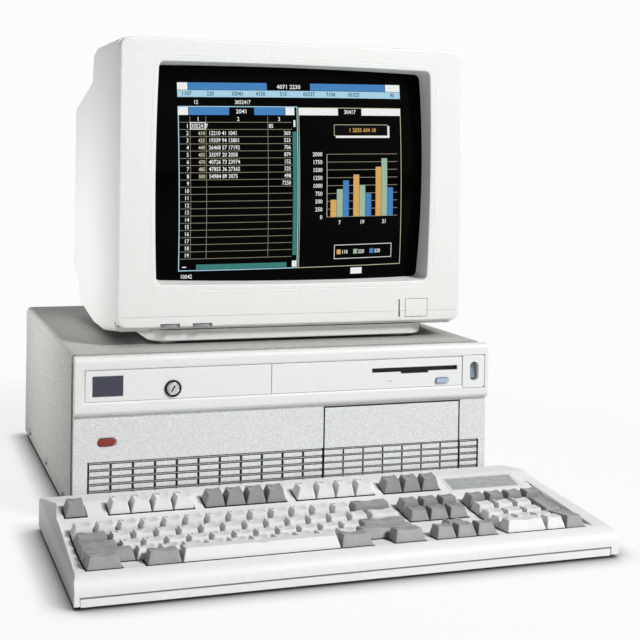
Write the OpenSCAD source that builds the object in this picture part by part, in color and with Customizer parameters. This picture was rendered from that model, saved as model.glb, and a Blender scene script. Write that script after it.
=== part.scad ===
// A desktop computer: system unit, colour monitor standing on it, and a keyboard in front.
// X runs to the right, every front faces -Y, Z is up and the table top is Z = 0.
// The origin is the middle of the whole set's footprint.

/* [System unit] */
// Width of the system unit
case_w = 426; // [412:2:442]
// Depth of the system unit, from its front face to its rear edge
case_d = 413; // [405:1:430]
// Height of the system unit's top above the table
case_h = 156; // [154:1:166]
// How far the system unit's middle lies to the right of the keyboard's middle
case_shift = 8; // [0:1:14]
// Sheet steel thickness
steel_t = 1.2; // [1:0.1:1.5]
// Height of the rubber feet under the system unit
foot_h = 3; // [2:0.5:5]

/* [Front panel] */
// Height of the raised band along the top of the front
band_h = 55.8; // [54:0.2:58]
// How far the raised band stands in front of the lower panel
band_out = 5; // [4:0.5:6]
// Wall thickness of the mouldings
wall = 2.6; // [2.2:0.1:3]
// Columns of louvres across the panel
louvre_columns = 19; // [17:2:21]
// Height from one louvre to the next
louvre_pitch = 6.7; // [6:0.1:7.5]

/* [Monitor] */
// Width of the monitor
mon_w = 370; // [354:2:384]
// Height of the monitor's cabinet
mon_h = 289; // [280:1:300]
// Depth of the cabinet's tall front part and its sloping rear part
mon_d = 300; // [290:1:310]
// How far the monitor's face stands behind the system unit's face
mon_back = 55; // [50:1:60]
// How far the monitor's middle lies to the right of the keyboard's middle
mon_shift = 28; // [20:1:34]
// Width of the screen opening in the monitor's face
screen_w = 292; // [284:2:296]
// Height of the screen opening in the monitor's face
screen_h = 222; // [212:1:224]

/* [Keyboard] */
// Distance from one key to the next
key_pitch = 19.05; // [18.8:0.05:19.2]
// Depth of the keyboard
kb_d = 225; // [220:1:230]
// Height of the deck's lowest line
deck_z = 23.5; // [22.5:0.5:26]
// Radius of the hollow deck that the key rows follow
deck_r = 402; // [390:2:430]
// Travel of a key
key_travel = 3.8; // [3:0.1:4]
// Height of a key cap
cap_h = 10.5; // [9.5:0.5:11]
// Clear gap between the keyboard's back and the system unit
desk_gap = 3; // [2:0.5:12]

/* [Hidden] */
$fn = 48;
eps = 0.01;

// ---- Places shared by the three units ----
total_d = kb_d + desk_gap + case_d;
kb_y = -total_d / 2;                      // keyboard front
case_y = kb_y + kb_d + desk_gap;          // system unit front face
case_back = case_y + case_d;
case_x0 = case_shift - case_w / 2;        // left side of the system unit
case_x1 = case_x0 + case_w;

// ---- Small shared shapes ----
// A box from one corner to the opposite corner
module span(a, b) {
    translate(a) cube([b[0] - a[0], b[1] - a[1], b[2] - a[2]]);
}

// A rod along Y from y0 to y1
module rod_y(x, y0, y1, z, r) {
    translate([x, y0, z]) rotate([-90, 0, 0]) cylinder(r = r, h = y1 - y0);
}

// A rod along X from x0 to x1
module rod_x(x0, x1, y, z, r) {
    translate([x0, y, z]) rotate([0, 90, 0]) cylinder(r = r, h = x1 - x0);
}

// A bar along Y whose front outline is an oblong with round ends, w wide and h high
module oblong_y(x, y0, y1, z, w, h) {
    r = min(w, h) / 2;
    dx = w / 2 - r;
    dz = h / 2 - r;
    for (s = [-1, 1]) rod_y(x + s * dx, y0, y1, z + s * dz, r);
    if (w > h) span([x - dx, y0, z - r], [x + dx, y1, z + r]);
    if (h > w) span([x - r, y0, z - dz], [x + r, y1, z + dz]);
}

// A prism along Y from y0 to y1 with a rounded rectangle as its front outline
module round_rect_y(x0, x1, z0, z1, y0, y1, r) {
    span([x0 + r, y0, z0], [x1 - r, y1, z1]);
    span([x0, y0, z0 + r], [x1, y1, z1 - r]);
    for (x = [x0 + r, x1 - r], z = [z0 + r, z1 - r]) rod_y(x, y0, y1, z, r);
}

// A prism along X from x0 to x1 whose side outline is a list of [y, z] points
module side_prism(points, x0, x1) {
    translate([x0, 0, 0]) rotate([90, 0, 90]) linear_extrude(x1 - x0) polygon(points);
}

// ---- System unit: places ----
bezel_d = 12;                             // depth of the bezel's full-width rim
neck_in = 3;                              // how far the bezel's neck steps in behind the rim
neck_d = 26;                              // the neck's rear edge, behind the front face
cover_start = 20;                         // the cover's front edge, behind the front face
fit = 0.4;                                // clearance between a fixed part and its neighbour
wall_y = case_y + neck_d + 1;             // steel front wall
rear_y = case_back - 12;                  // inner face of the steel rear wall
pan_z = foot_h + steel_t;                 // top of the pan's floor
inner_x0 = case_x0 + steel_t + fit;
inner_x1 = case_x1 - steel_t - fit;
inner_top = case_h - steel_t - fit;

lower_y = case_y + band_out;              // face of the lower panel
band_z = case_h - band_h;                 // the raised band's lower edge
strip_x0 = case_x0 + 9.3;                 // recessed strip across the band
strip_x1 = case_x1 - 29;
strip_z0 = case_h - 42.5;
strip_z1 = case_h - 12.5;
strip_mid = case_x0 + 191.5;              // joint between the two fascias
strip_in = 1;                             // depth of the fascias' faces behind the band
strip_edge = 2.2;                         // width of the sloping border round the strip

louvre_x0 = case_x0 + 13.8;
louvre_x1 = case_x1 - 8.2;
louvre_top = foot_h + 53;
louvre_gap = 2.1;                         // height of the slot between two louvres
louvre_slat = 1.1;                        // height of the slat set back in each slot
louvre_split = 0.9;                       // upright gap between neighbouring louvres
louvre_rows = floor((louvre_top - foot_h - 10) / louvre_pitch);
louvre_w = (louvre_x1 - louvre_x0) / louvre_columns;

lock_x = case_x0 + 93.1;
lock_z = strip_z0 + 10.3;
lock_r = 8.2;
plug_r = 5;
running = 0.05;                           // radial clearance of a turning fit

reset_x = case_x0 + 31;
reset_z = louvre_top + 0.415 * (band_z - louvre_top);
reset_w = 16.6;
reset_h = 7;
reset_travel = 2.5;

bay_column = louvre_columns - 8;          // the drive bay spans seven columns of louvres
bay_x0 = louvre_x0 + bay_column * louvre_w;
bay_x1 = bay_x0 + 7 * louvre_w;
bay_z0 = foot_h + 7;
bay_z1 = band_z - 2.4;

plate_x0 = case_x1 - 28.7;                // plate round the power switch
plate_x1 = case_x1 - 4.1;
switch_x = case_x1 - 15.6;
switch_z = strip_z0 + 14.2;
rocker_w = 8.4;
rocker_h = 16.8;
rocker_y = case_y + 11;
rocker_turn = 7;

drive_x0 = case_x1 - 132.8;
drive_w = 101.6;
drive_h = 25.4;
drive_z = strip_z0 + 3.5;
drive_y = case_y + strip_in + wall + fit;
drive_len = 146;
slot_x0 = case_x1 - 128.8;
slot_x1 = case_x1 - 34.5;
slot_z = strip_z0 + 16.5;                 // floor of the disk slot
slot_h = 4.6;
eject_x = case_x1 - 51.8;
eject_z = strip_z0 + 6.4;
eject_w = 14.8;
eject_h = 5;
eject_travel = 6;
light_x = case_x1 - 109.6;
light_z = strip_z0 + 7.8;

psu_w = 148;
psu_h = 86;
psu_len = 165;
psu_x0 = inner_x1 - 8 - psu_w;
psu_z = pan_z + 0.5;
psu_y = rear_y - fit - psu_len;
fan_x = psu_x0 + 44;
fan_z = psu_z + psu_h / 2;
fan_r = 34;

speaker_x = case_x0 + 60;
speaker_r = 28;
card_x0 = case_x0 + 26;                   // first card slot
card_pitch = 20.32;
card_count = 6;
card_used = 2;                            // the slot that holds the display adapter
card_z0 = pan_z + 16;
card_z1 = inner_top - 18;
board_z = pan_z + 6;                      // underside of the main board
board_t = 1.6;

// The window that the louvres stand in, from x0 to x1
module louvre_window(x0, x1)
    span([x0, lower_y - 1, louvre_top - louvre_rows * louvre_pitch - louvre_gap],
         [x1, lower_y + wall + 1, louvre_top]);

// Louvres of the columns first to last: short bars on an upright rib behind each column's middle,
// and a thin slat set back in every slot
module louvres(first, last) {
    left = louvre_x0 + first * louvre_w;
    right = louvre_x0 + (last + 1) * louvre_w;
    low = louvre_top - louvre_rows * louvre_pitch - louvre_gap;
    for (row = [0 : louvre_rows]) {
        z = louvre_top - row * louvre_pitch - louvre_gap / 2;
        span([left + 0.8, lower_y + 0.6, z - louvre_slat / 2],
             [right - 1.6, lower_y + wall, z + louvre_slat / 2]);
    }
    for (column = [first : last]) {
        x = louvre_x0 + column * louvre_w;
        for (row = [1 : louvre_rows]) {
            z = louvre_top - row * louvre_pitch;
            span([x + louvre_split / 2, lower_y, z],
                 [x + louvre_w - louvre_split / 2, lower_y + wall, z + louvre_pitch - louvre_gap]);
        }
        mid = x + louvre_w / 2;
        span([mid - 0.8, lower_y + wall - 1, low - 1], [mid + 0.8, lower_y + wall + 2, louvre_top + 1]);
    }
}

module chassis_base() color([0.72, 0.73, 0.72]) {
    // Pan with turned-up sides
    difference() {
        union() {
            span([inner_x0, wall_y, foot_h], [inner_x1, rear_y + steel_t, pan_z]);
            for (x = [inner_x0, inner_x1 - steel_t])
                span([x, wall_y, foot_h], [x + steel_t, rear_y + steel_t, foot_h + 20]);
            for (y = [wall_y, rear_y]) cover_form(steel_t + fit, y, y + steel_t, foot_h);
        }
        // Front wall: lock, switch, reset and drive openings, and the air intake
        rod_y(lock_x, wall_y - 1, wall_y + 2, lock_z, 7.4);
        span([reset_x - 12, wall_y - 1, reset_z - 8], [reset_x + 12, wall_y + 2, reset_z + 8]);
        span([bay_x0 - 1, wall_y - 1, bay_z0 + 2], [strip_x1 + 3, wall_y + 2, bay_z1]);
        span([drive_x0 - 2, wall_y - 1, drive_z - 1], [case_x1, wall_y + 2, case_h]);
        span([speaker_x + speaker_r + 4, wall_y - 1, 16], [bay_x0 - 20, wall_y + 2, louvre_top]);
        // Rear wall: power supply, card slots and board connectors
        span([psu_x0 + 4, rear_y - 1, psu_z + 4], [psu_x0 + psu_w - 4, rear_y + 2, psu_z + psu_h - 4]);
        for (slot = [0 : card_count - 1]) {
            x = card_x0 + slot * card_pitch;
            span([x - 6.5, rear_y - 1, card_z0 + 6], [x + 6.5, rear_y + 2, card_z1 - 6]);
        }
        span([case_x0 + 152, rear_y - 1, board_z], [psu_x0 - 8, rear_y + 2, board_z + 22]);
    }
}

module drive_cage() color([0.72, 0.73, 0.72]) {
    x0 = bay_x0 + 1;
    x1 = drive_x0 + drive_w + 1;
    y0 = wall_y + steel_t + fit;
    y1 = y0 + 150;
    shelf = drive_z - fit;
    for (x = [x0 - steel_t, x1]) span([x, y0, pan_z], [x + steel_t, y1, drive_z + drive_h + 2]);
    span([x0 - eps, y0, shelf - steel_t], [x1 + eps, y1, shelf]);
    span([x0 - eps, y0, drive_z + drive_h + 2 - steel_t], [x1 + eps, y1, drive_z + drive_h + 2]);
}

// The cover's outline along its depth, drawn in from its outer faces by an inset
module cover_form(inset, y0, y1, z0) {
    r = 5 - inset;
    x0 = case_x0 + inset;
    x1 = case_x1 - inset;
    z1 = case_h - inset;
    span([x0, y0, z0], [x1, y1, z1 - r]);
    span([x0 + r, y0, z0], [x1 - r, y1, z1]);
    for (x = [x0 + r, x1 - r]) rod_y(x, y0, y1, z1 - r, r);
}

// Steel cover: a top and two sides, with rounded long edges
module case_cover() color([0.77, 0.77, 0.73])
    difference() {
        cover_form(0, case_y + cover_start, case_back, foot_h + 0.5);
        cover_form(steel_t, case_y + cover_start - 1, case_back + 1, foot_h - 1);
    }

// Moulded front: rim, raised band with its recessed strip, lower panel with louvres
module front_bezel() color([0.84, 0.84, 0.8]) {
    r = 5;
    difference() {
        union() {
            // Raised band with rounded front edges
            span([case_x0, case_y + r, band_z], [case_x1, case_y + bezel_d, case_h]);
            span([case_x0, case_y, band_z + r], [case_x1, case_y + r + eps, case_h - r]);
            rod_x(case_x0, case_x1, case_y + r, band_z + r, r);
            rod_x(case_x0, case_x1, case_y + r, case_h - r, r);
            // Lower panel
            span([case_x0, lower_y, foot_h], [case_x1, case_y + bezel_d, band_z + eps]);
            // Neck inside the cover
            span([case_x0 + neck_in, case_y + bezel_d - eps, foot_h + neck_in],
                 [case_x1 - neck_in, case_y + neck_d, case_h - neck_in]);
        }
        // Hollow from behind
        span([case_x0 + neck_in + wall, lower_y + wall, foot_h + neck_in + wall],
             [case_x1 - neck_in - wall, case_y + neck_d + 1, case_h - neck_in - wall]);
        // Recessed strip with its sloping border, and the openings behind the two fascias
        span([strip_x0, case_y - 1, strip_z0], [strip_x1, case_y + strip_in + wall + 0.3, strip_z1]);
        hull() {
            span([strip_x0 - strip_edge, case_y - 1, strip_z0 - strip_edge],
                 [strip_x1, case_y, strip_z1 + strip_edge]);
            span([strip_x0, case_y, strip_z0], [strip_x1, case_y + strip_in, strip_z1]);
        }
        span([strip_x0 + 3, case_y, strip_z0 + 3], [strip_mid - 3, lower_y + wall + 1, strip_z1 - 3]);
        span([strip_mid + 3, case_y, strip_z0 + 1.5], [strip_x1 - 1, lower_y + wall + 1, strip_z1 - 1]);
        // Switch plate's pocket, open behind the plate's right-hand corners
        round_rect_y(plate_x0 - 0.5, plate_x1 + 0.5, strip_z0 - 3, strip_z1 + 1.5, case_y - 1,
            case_y + 3.4, 3);
        for (z = [strip_z0 - 3, strip_z1 - 0.9])
            span([plate_x1 - 2.4, case_y, z], [plate_x1 + 0.5, lower_y + wall + 1, z + 2.4]);
        span([switch_x - 8, case_y, switch_z - 12], [switch_x + 8, lower_y + wall + 1, switch_z + 12]);
        // Reset button's dish and hole
        oblong_y(reset_x, lower_y - 1, lower_y + 1.2, reset_z, reset_w + 3.4, reset_h + 3);
        oblong_y(reset_x, lower_y, lower_y + wall + 1, reset_z, reset_w + 0.8, reset_h + 0.8);
        // Drive bay, right through
        span([bay_x0, lower_y - 1, bay_z0], [bay_x1, case_y + neck_d + 1, bay_z1]);
        louvre_window(louvre_x0, bay_x0 + 1);
        louvre_window(bay_x1 - 1, louvre_x1);
    }
    louvres(0, bay_column - 1);
    louvres(louvre_columns - 1, louvre_columns - 1);
}

module left_fascia() color([0.87, 0.87, 0.83]) {
    difference() {
        span([strip_x0 + fit, case_y + strip_in, strip_z0 + fit],
             [strip_mid - 0.3, case_y + strip_in + wall, strip_z1 - fit]);
        rod_y(lock_x, case_y - 1, case_y + 10, lock_z, 7.1);
        span([case_x0 + 16.3, case_y, strip_z0 + 5],
            [case_x0 + 45.3, case_y + strip_in + 0.8, strip_z0 + 24.4]);
    }
}

module right_fascia() color([0.87, 0.87, 0.83]) {
    notch_x = slot_x0 + 31.5;
    difference() {
        span([strip_mid + 0.3, case_y + strip_in, strip_z0 + fit],
             [strip_x1 - fit, case_y + strip_in + wall, strip_z1 - fit]);
        span([slot_x0, case_y, slot_z], [slot_x1, case_y + 8, slot_z + slot_h]);
        // Finger notch under the slot
        span([notch_x, case_y, slot_z - 2], [notch_x + 30, case_y + 8, slot_z + 1]);
        oblong_y(eject_x, case_y, case_y + 8, eject_z, eject_w + 0.8, eject_h + 0.8);
        for (side = [-1, 1]) light_window(side, 0.9, 0.3, case_y, case_y + 8);
    }
}

// Lift-off cover of the drive bay, with its share of the louvres
module bay_cover() color([0.82, 0.83, 0.81]) {
    gap = 0.9;
    difference() {
        union() {
            span([bay_x0 + gap, lower_y, bay_z0 + gap], [bay_x1 - gap, lower_y + wall, bay_z1 - gap]);
            // Spring tongues that hold it in the bay
            for (x = [bay_x0 + 1.6, bay_x1 - 3])
                span([x, lower_y + 1, bay_z0 + 52], [x + 1.4, lower_y + 16, bay_z0 + 76]);
        }
        louvre_window(bay_x0, bay_x1);
    }
    intersection() {
        louvres(bay_column, bay_column + 6);
        span([bay_x0 + gap, lower_y - 1, bay_z0], [bay_x1 - gap, lower_y + wall + 4, bay_z1]);
    }
}

module badge_plate() color([0.27, 0.26, 0.33])
    span([case_x0 + 16.6, case_y + strip_in - 0.3, strip_z0 + 5.3],
         [case_x0 + 45, case_y + strip_in + 0.7, strip_z0 + 24.1]);

module key_lock_body() color([0.75, 0.76, 0.78]) {
    difference() {
        union() {
            rod_y(lock_x, case_y - 0.8, case_y + strip_in - 0.1, lock_z, lock_r);
            rod_y(lock_x, case_y, wall_y + 5, lock_z, 7);
        }
        rod_y(lock_x, case_y - 2, wall_y + 6, lock_z, plug_r + running);
    }
}

// Lock plug: a keyhole in front and a cam behind
module key_lock_plug() color([0.85, 0.85, 0.86]) {
    difference() {
        rod_y(lock_x, case_y - 1.2, wall_y + 8, lock_z, plug_r);
        translate([lock_x, case_y, lock_z]) rotate([0, 30, 0]) cube([1.4, 6, 6.4], center = true);
    }
    span([lock_x - 4, wall_y + 5.6, lock_z - 22], [lock_x + 4, wall_y + 7.6, lock_z]);
}

module reset_button() color([0.62, 0.27, 0.2]) {
    oblong_y(reset_x, lower_y - 0.4, lower_y + 6, reset_z, reset_w, reset_h);
    span([reset_x - 10, lower_y + wall + 0.3, reset_z - 5.4],
        [reset_x + 10, lower_y + wall + 1.8, reset_z + 5.4]);
}

module switch_plate() color([0.86, 0.86, 0.83]) {
    difference() {
        union() {
            round_rect_y(plate_x0, plate_x1, strip_z0 - 2.5, strip_z1 + 1, case_y + 0.4, case_y + 3.2, 2.6);
            // Collar round the rocker
            oblong_y(switch_x, case_y + 3, case_y + 8, switch_z, rocker_w + 3.8, rocker_h + 5.4);
            // Ears that carry the rocker's pin
            for (s = [-1, 1]) {
                x = switch_x + s * 6.2;
                span([x - 1, case_y + 3, switch_z - 4], [x + 1, rocker_y + 4, switch_z + 4]);
            }
        }
        oblong_y(switch_x, case_y - 1, case_y + 9, switch_z, rocker_w + 1.4, rocker_h + 3);
        rod_x(switch_x - 9, switch_x + 9, rocker_y, switch_z, 1.5 + running);
    }
}

module power_rocker() color([0.62, 0.68, 0.66])
    translate([0, rocker_y, switch_z]) rotate([-rocker_turn, 0, 0]) translate([0, -rocker_y, -switch_z]) {
        oblong_y(switch_x, case_y + 5.5, rocker_y, switch_z, rocker_w, rocker_h);
        rod_x(switch_x - 7.6, switch_x + 7.6, rocker_y, switch_z, 1.5);
        rod_x(switch_x - rocker_w / 2, switch_x + rocker_w / 2, rocker_y, switch_z, 3.2);
    }

// Diskette drive: case, disk channel, and the pocket of its eject slider
module floppy_drive() color([0.7, 0.71, 0.72]) {
    y0 = drive_y;
    x1 = drive_x0 + drive_w;
    difference() {
        span([drive_x0, y0, drive_z], [x1, y0 + drive_len, drive_z + drive_h]);
        span([slot_x0, y0 - 1, slot_z - 0.4], [slot_x1, y0 + 125, slot_z + slot_h]);
        span([slot_x0 - 1, y0 - 1, slot_z], [slot_x1 + 1, y0 + 9, slot_z + slot_h + 1.6]);
        span([eject_x - 9, y0 - 1, eject_z - 4], [eject_x + 9, y0 + 24, eject_z + 4]);
        span([light_x - 3, y0 - 1, light_z - 3], [light_x + 3, y0 + 6, light_z + 3]);
        rod_x(slot_x0 - 2.7, slot_x1 + 2.7, flap_y, flap_z, flap_pin_r + running);
    }
}

flap_y = drive_y + 1.6;                   // axis of the flap's pin
flap_z = slot_z + slot_h + 0.2;
flap_pin_r = 0.8;
module floppy_flap() color([0.13, 0.13, 0.14]) {
    rod_x(slot_x0 - 2.4, slot_x1 + 2.4, flap_y, flap_z, flap_pin_r);
    span([slot_x0 + 0.5, flap_y - 0.4, slot_z + 0.2], [slot_x1 - 0.5, flap_y + 0.4, flap_z]);
}

module eject_button() color([0.66, 0.74, 0.85]) {
    oblong_y(eject_x, case_y - 1.4, drive_y + 3, eject_z, eject_w, eject_h);
    span([eject_x - 8.6, drive_y + 0.3, eject_z - 3.2], [eject_x + 8.6, drive_y + 14, eject_z + 3.2]);
}

// Two short dashes of light, joined behind the fascia
module drive_light() color([0.35, 0.5, 0.3]) {
    for (side = [-1, 1]) light_window(side, 0.8, 0.2, case_y + strip_in - 0.1,
        case_y + strip_in + wall + 0.6);
    span([light_x - 2.4, case_y + strip_in + wall + 0.2, light_z - 0.5],
         [light_x + 2.4, case_y + strip_in + wall + 1, light_z + 0.5]);
}

// One dash, left or right of the light's middle
module light_window(side, half_w, half_h, y0, y1) {
    x = light_x + side * 1.3;
    span([x - half_w, y0, light_z - half_h], [x + half_w, y1, light_z + half_h]);
}

module case_feet() color([0.15, 0.15, 0.15])
    for (x = [case_x0 + 40, case_x1 - 40], y = [case_y + 45, case_back - 45])
        translate([x, y, 0]) cylinder(r = 11, h = foot_h);

module power_supply() color([0.68, 0.69, 0.69]) {
    x1 = psu_x0 + psu_w;
    y1 = psu_y + psu_len;
    inlet_x = x1 - 34;
    difference() {
        span([psu_x0, psu_y, psu_z], [x1, y1, psu_z + psu_h]);
        span([psu_x0 + 1, psu_y + 1, psu_z + 1], [x1 - 1, y1 - 1, psu_z + psu_h - 1]);
        rod_y(fan_x, y1 - 2, y1 + 1, fan_z, fan_r + 2);
        span([inlet_x - 14, y1 - 2, psu_z + 22], [inlet_x + 14, y1 + 1, psu_z + 44]);
        // Air slots in the front wall of the box
        for (i = [0 : 8])
            span([psu_x0 + 20 + i * 12, psu_y - 1, psu_z + 16],
                [psu_x0 + 24 + i * 12, psu_y + 2, psu_z + 70]);
    }
    // Finger guard: rings on a cross, and the fan's axle
    for (r = [12, 20, 28]) difference() {
        rod_y(fan_x, y1 - 1, y1, fan_z, r + 0.8);
        rod_y(fan_x, y1 - 2, y1 + 1, fan_z, r - 0.8);
    }
    span([fan_x - fan_r - 3, y1 - 1, fan_z - 1], [fan_x + fan_r + 3, y1, fan_z + 1]);
    span([fan_x - 1, y1 - 1, fan_z - fan_r - 3], [fan_x + 1, y1, fan_z + fan_r + 3]);
    rod_y(fan_x, y1 - 24, y1, fan_z, 2);
    // Mains inlet: a deep socket with three blades
    difference() {
        span([inlet_x - 14 - eps, y1 - 20, psu_z + 22 - eps], [inlet_x + 14 + eps, y1 + 1, psu_z + 44 + eps]);
        span([inlet_x - 11.8, y1 - 17, psu_z + 24.6], [inlet_x + 11.8, y1 + 2, psu_z + 41.4]);
    }
    for (dx = [-7, 0, 7])
        span([inlet_x + dx - 1, y1 - 18, psu_z + 30], [inlet_x + dx + 1, y1 - 3, psu_z + 34]);
}

module supply_fan() color([0.12, 0.12, 0.12]) {
    y1 = psu_y + psu_len - 3;
    difference() {
        rod_y(fan_x, y1 - 18, y1, fan_z, 15);
        rod_y(fan_x, y1 - 20, y1 + 1, fan_z, 2 + running);
    }
    for (i = [0 : 6])
        translate([fan_x, y1 - 9, fan_z]) rotate([0, i * 360 / 7, 0])
            translate([0, 0, 14]) rotate([0, 0, 35]) translate([-9, -0.8, 0]) cube([18, 1.6, fan_r - 14]);
}

module motherboard() color([0.2, 0.4, 0.25]) {
    x0 = inner_x0 + 6;
    x1 = psu_x0 - 6;
    y0 = wall_y + 160;
    y1 = rear_y - 2;
    top = board_z + board_t;
    span([x0, y0, board_z], [x1, y1, top]);
    for (x = [x0 + 12, x1 - 12], y = [y0 + 14, y1 - 14])
        translate([x, y, pan_z]) cylinder(r = 3, h = board_z - pan_z + eps);
    for (slot = [0 : card_count - 1]) {
        x = card_x0 + slot * card_pitch;
        span([x - 4, y1 - 150, top - eps], [x + 4, y1 - 60, top + 11]);
    }
    // Processor, support chips and memory
    span([x0 + 150, y0 + 30, top - eps], [x0 + 190, y0 + 70, top + 5]);
    for (i = [0 : 3], j = [0 : 2])
        span([x0 + 160 + i * 16, y0 + 90 + j * 22, top - eps],
            [x0 + 171 + i * 16, y0 + 108 + j * 22, top + 4]);
    for (i = [0 : 3])
        span([x0 + 16 + i * 12, y0 + 6, top - eps], [x0 + 22 + i * 12, y0 + 62, top + 16]);
    // Rear connectors that reach through the wall
    for (c = [[0, 14], [24, 14], [46, 12], [60, 12]]) {
        x = case_x0 + 162 + c[0];
        rod_y(x, y1 - 18, rear_y + steel_t + 3, top + 9, c[1] / 2);
        span([x - c[1] / 2, y1 - 18, top - eps], [x + c[1] / 2, y1 - 2, top + 9]);
    }
}

// Display adapter: a board in its slot with the steel bracket behind it
module adapter_card() color([0.22, 0.42, 0.24]) {
    x = card_x0 + card_used * card_pitch;
    z0 = board_z + board_t + 11.4;
    span([x - 0.8, rear_y - 172, z0], [x + 0.8, rear_y - 2, card_z1 - 10]);
    for (i = [0 : 3])
        span([x - 3.6, rear_y - 150 + i * 32, z0 + 16], [x - 0.8 + eps, rear_y - 128 + i * 32, z0 + 34]);
    span([x - 9, rear_y - 2 - eps, card_z0], [x + 9, rear_y - 0.5, card_z1]);
    span([x - 5.5, rear_y - 3, card_z0 + 14], [x + 5.5, rear_y + 6, card_z0 + 46]);
}

module slot_covers() color([0.72, 0.73, 0.72])
    for (slot = [0 : card_count - 1]) {
        x = card_x0 + slot * card_pitch;
        if (slot != card_used) span([x - 9, rear_y - 1.7, card_z0], [x + 9, rear_y - 0.5, card_z1]);
    }

module hard_drive() color([0.55, 0.56, 0.57]) {
    x0 = bay_x0 + 22;
    y0 = wall_y + 4;
    z0 = pan_z + 34;
    span([x0, y0, z0], [x0 + drive_w, y0 + drive_len, z0 + 36]);
    // Steel brackets down to the pan
    for (x = [x0 + 4, x0 + drive_w - 9.6])
        span([x, y0 + 10, pan_z], [x + 5.6, y0 + drive_len - 16, z0 + eps]);
}

module speaker() color([0.2, 0.2, 0.2]) {
    z = pan_z + speaker_r + 6;
    y0 = wall_y + steel_t + 0.1;
    difference() {
        rod_y(speaker_x, y0, y0 + 6, z, speaker_r);
        rod_y(speaker_x, y0 - 1, y0 + 3, z, speaker_r - 4);
    }
    rod_y(speaker_x, y0 + 6 - eps, y0 + 20, z, speaker_r / 2);
}

// Slotted hexagon screws along the lower sides of the cover
module case_screws() color([0.6, 0.6, 0.6])
    for (y = [case_y + 70, case_y + 200, case_back - 60]) {
        rod_x(case_x0 - 2, case_x0, y, 14, 4);
        rod_x(case_x1, case_x1 + 2, y, 14, 4);
    }

// ---- Monitor: places ----
mon_y = case_y + mon_back;                // the monitor's face
mon_x0 = mon_shift - mon_w / 2;
mon_x1 = mon_shift + mon_w / 2;
mon_z0 = case_h + 18;                     // bottom of its front frame
mon_z1 = mon_z0 + mon_h;
frame_d = 12;                             // depth of the front frame
screen_z1 = mon_z1 - 23.5;                // top of the screen opening
screen_z0 = screen_z1 - screen_h;
screen_mid = (screen_z0 + screen_z1) / 2;
recess_d = 12.3;                          // depth of the sloping recess round the screen
recess_in = 2.2;                          // how far each of its walls leans in
glass_r = 850;                            // radius of the bulging glass
glass_y = mon_y + 6;                      // the glass's foremost point
funnel_y = mon_y + 62;                    // where the tube's funnel starts
neck_y = mon_y + mon_d - 88;              // where its neck starts
neck_board_y = mon_y + mon_d - 28;        // front of the board on the neck's end
floor_back = mon_y + 0.84 * mon_d;        // rear edge of the cabinet's flat floor
neck_r = 14.5;
tray_w = 300;                             // width of the plinth
tray_d = 236;
tray_top = mon_z0 - 3;
wheel_r = 12;
wheel_y = mon_y + wheel_r - 1;            // the wheels' rims stand 1 mm proud of the face
wheel_z = mon_z0 + 0.7;
wheel_t = 2.8;
bright_x = mon_x0 + 53.5;
contrast_x = mon_x0 + 86.5;
mon_button_x = mon_x1 - 50.5;
mon_button_w = 25;
mon_button_h = 18.5;
mon_button_z = mon_z0 + 14.3;
mon_button_travel = 4;
lamp_x = mon_x1 - 70;

// Side outline of the cabinet behind the frame, as [y, z]; it steps down behind the tall part
cabinet = [[mon_y + frame_d, mon_z0 - 4], [mon_y + 96, case_h + 4.5], [mon_y + 154, case_h + 4.5],
    [floor_back, mon_z0 - 2], [floor_back + 12, mon_z0 + 28],
    [mon_y + mon_d, mon_z0 + 30], [mon_y + mon_d, mon_z1 - 61],
    [mon_y + 175, mon_z1 - 33], [mon_y + 171, mon_z1 - 5], [mon_y + 150, mon_z1],
    [mon_y + frame_d, mon_z1]];

// A shaft along Y whose sides lean in, from a front opening to a smaller rear one
module leaning_shaft(x0, x1, z0, z1, y0, y1, lean) {
    intersection() {
        translate([0, 0, z0 - 1]) linear_extrude(z1 - z0 + 2)
            polygon([[x0, y0], [x1, y0], [x1 - lean, y1], [x0 + lean, y1]]);
        side_prism([[y0, z0], [y1, z0 + lean], [y1, z1 - lean], [y0, z1]], x0 - 1, x1 + 1);
    }
}

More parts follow.
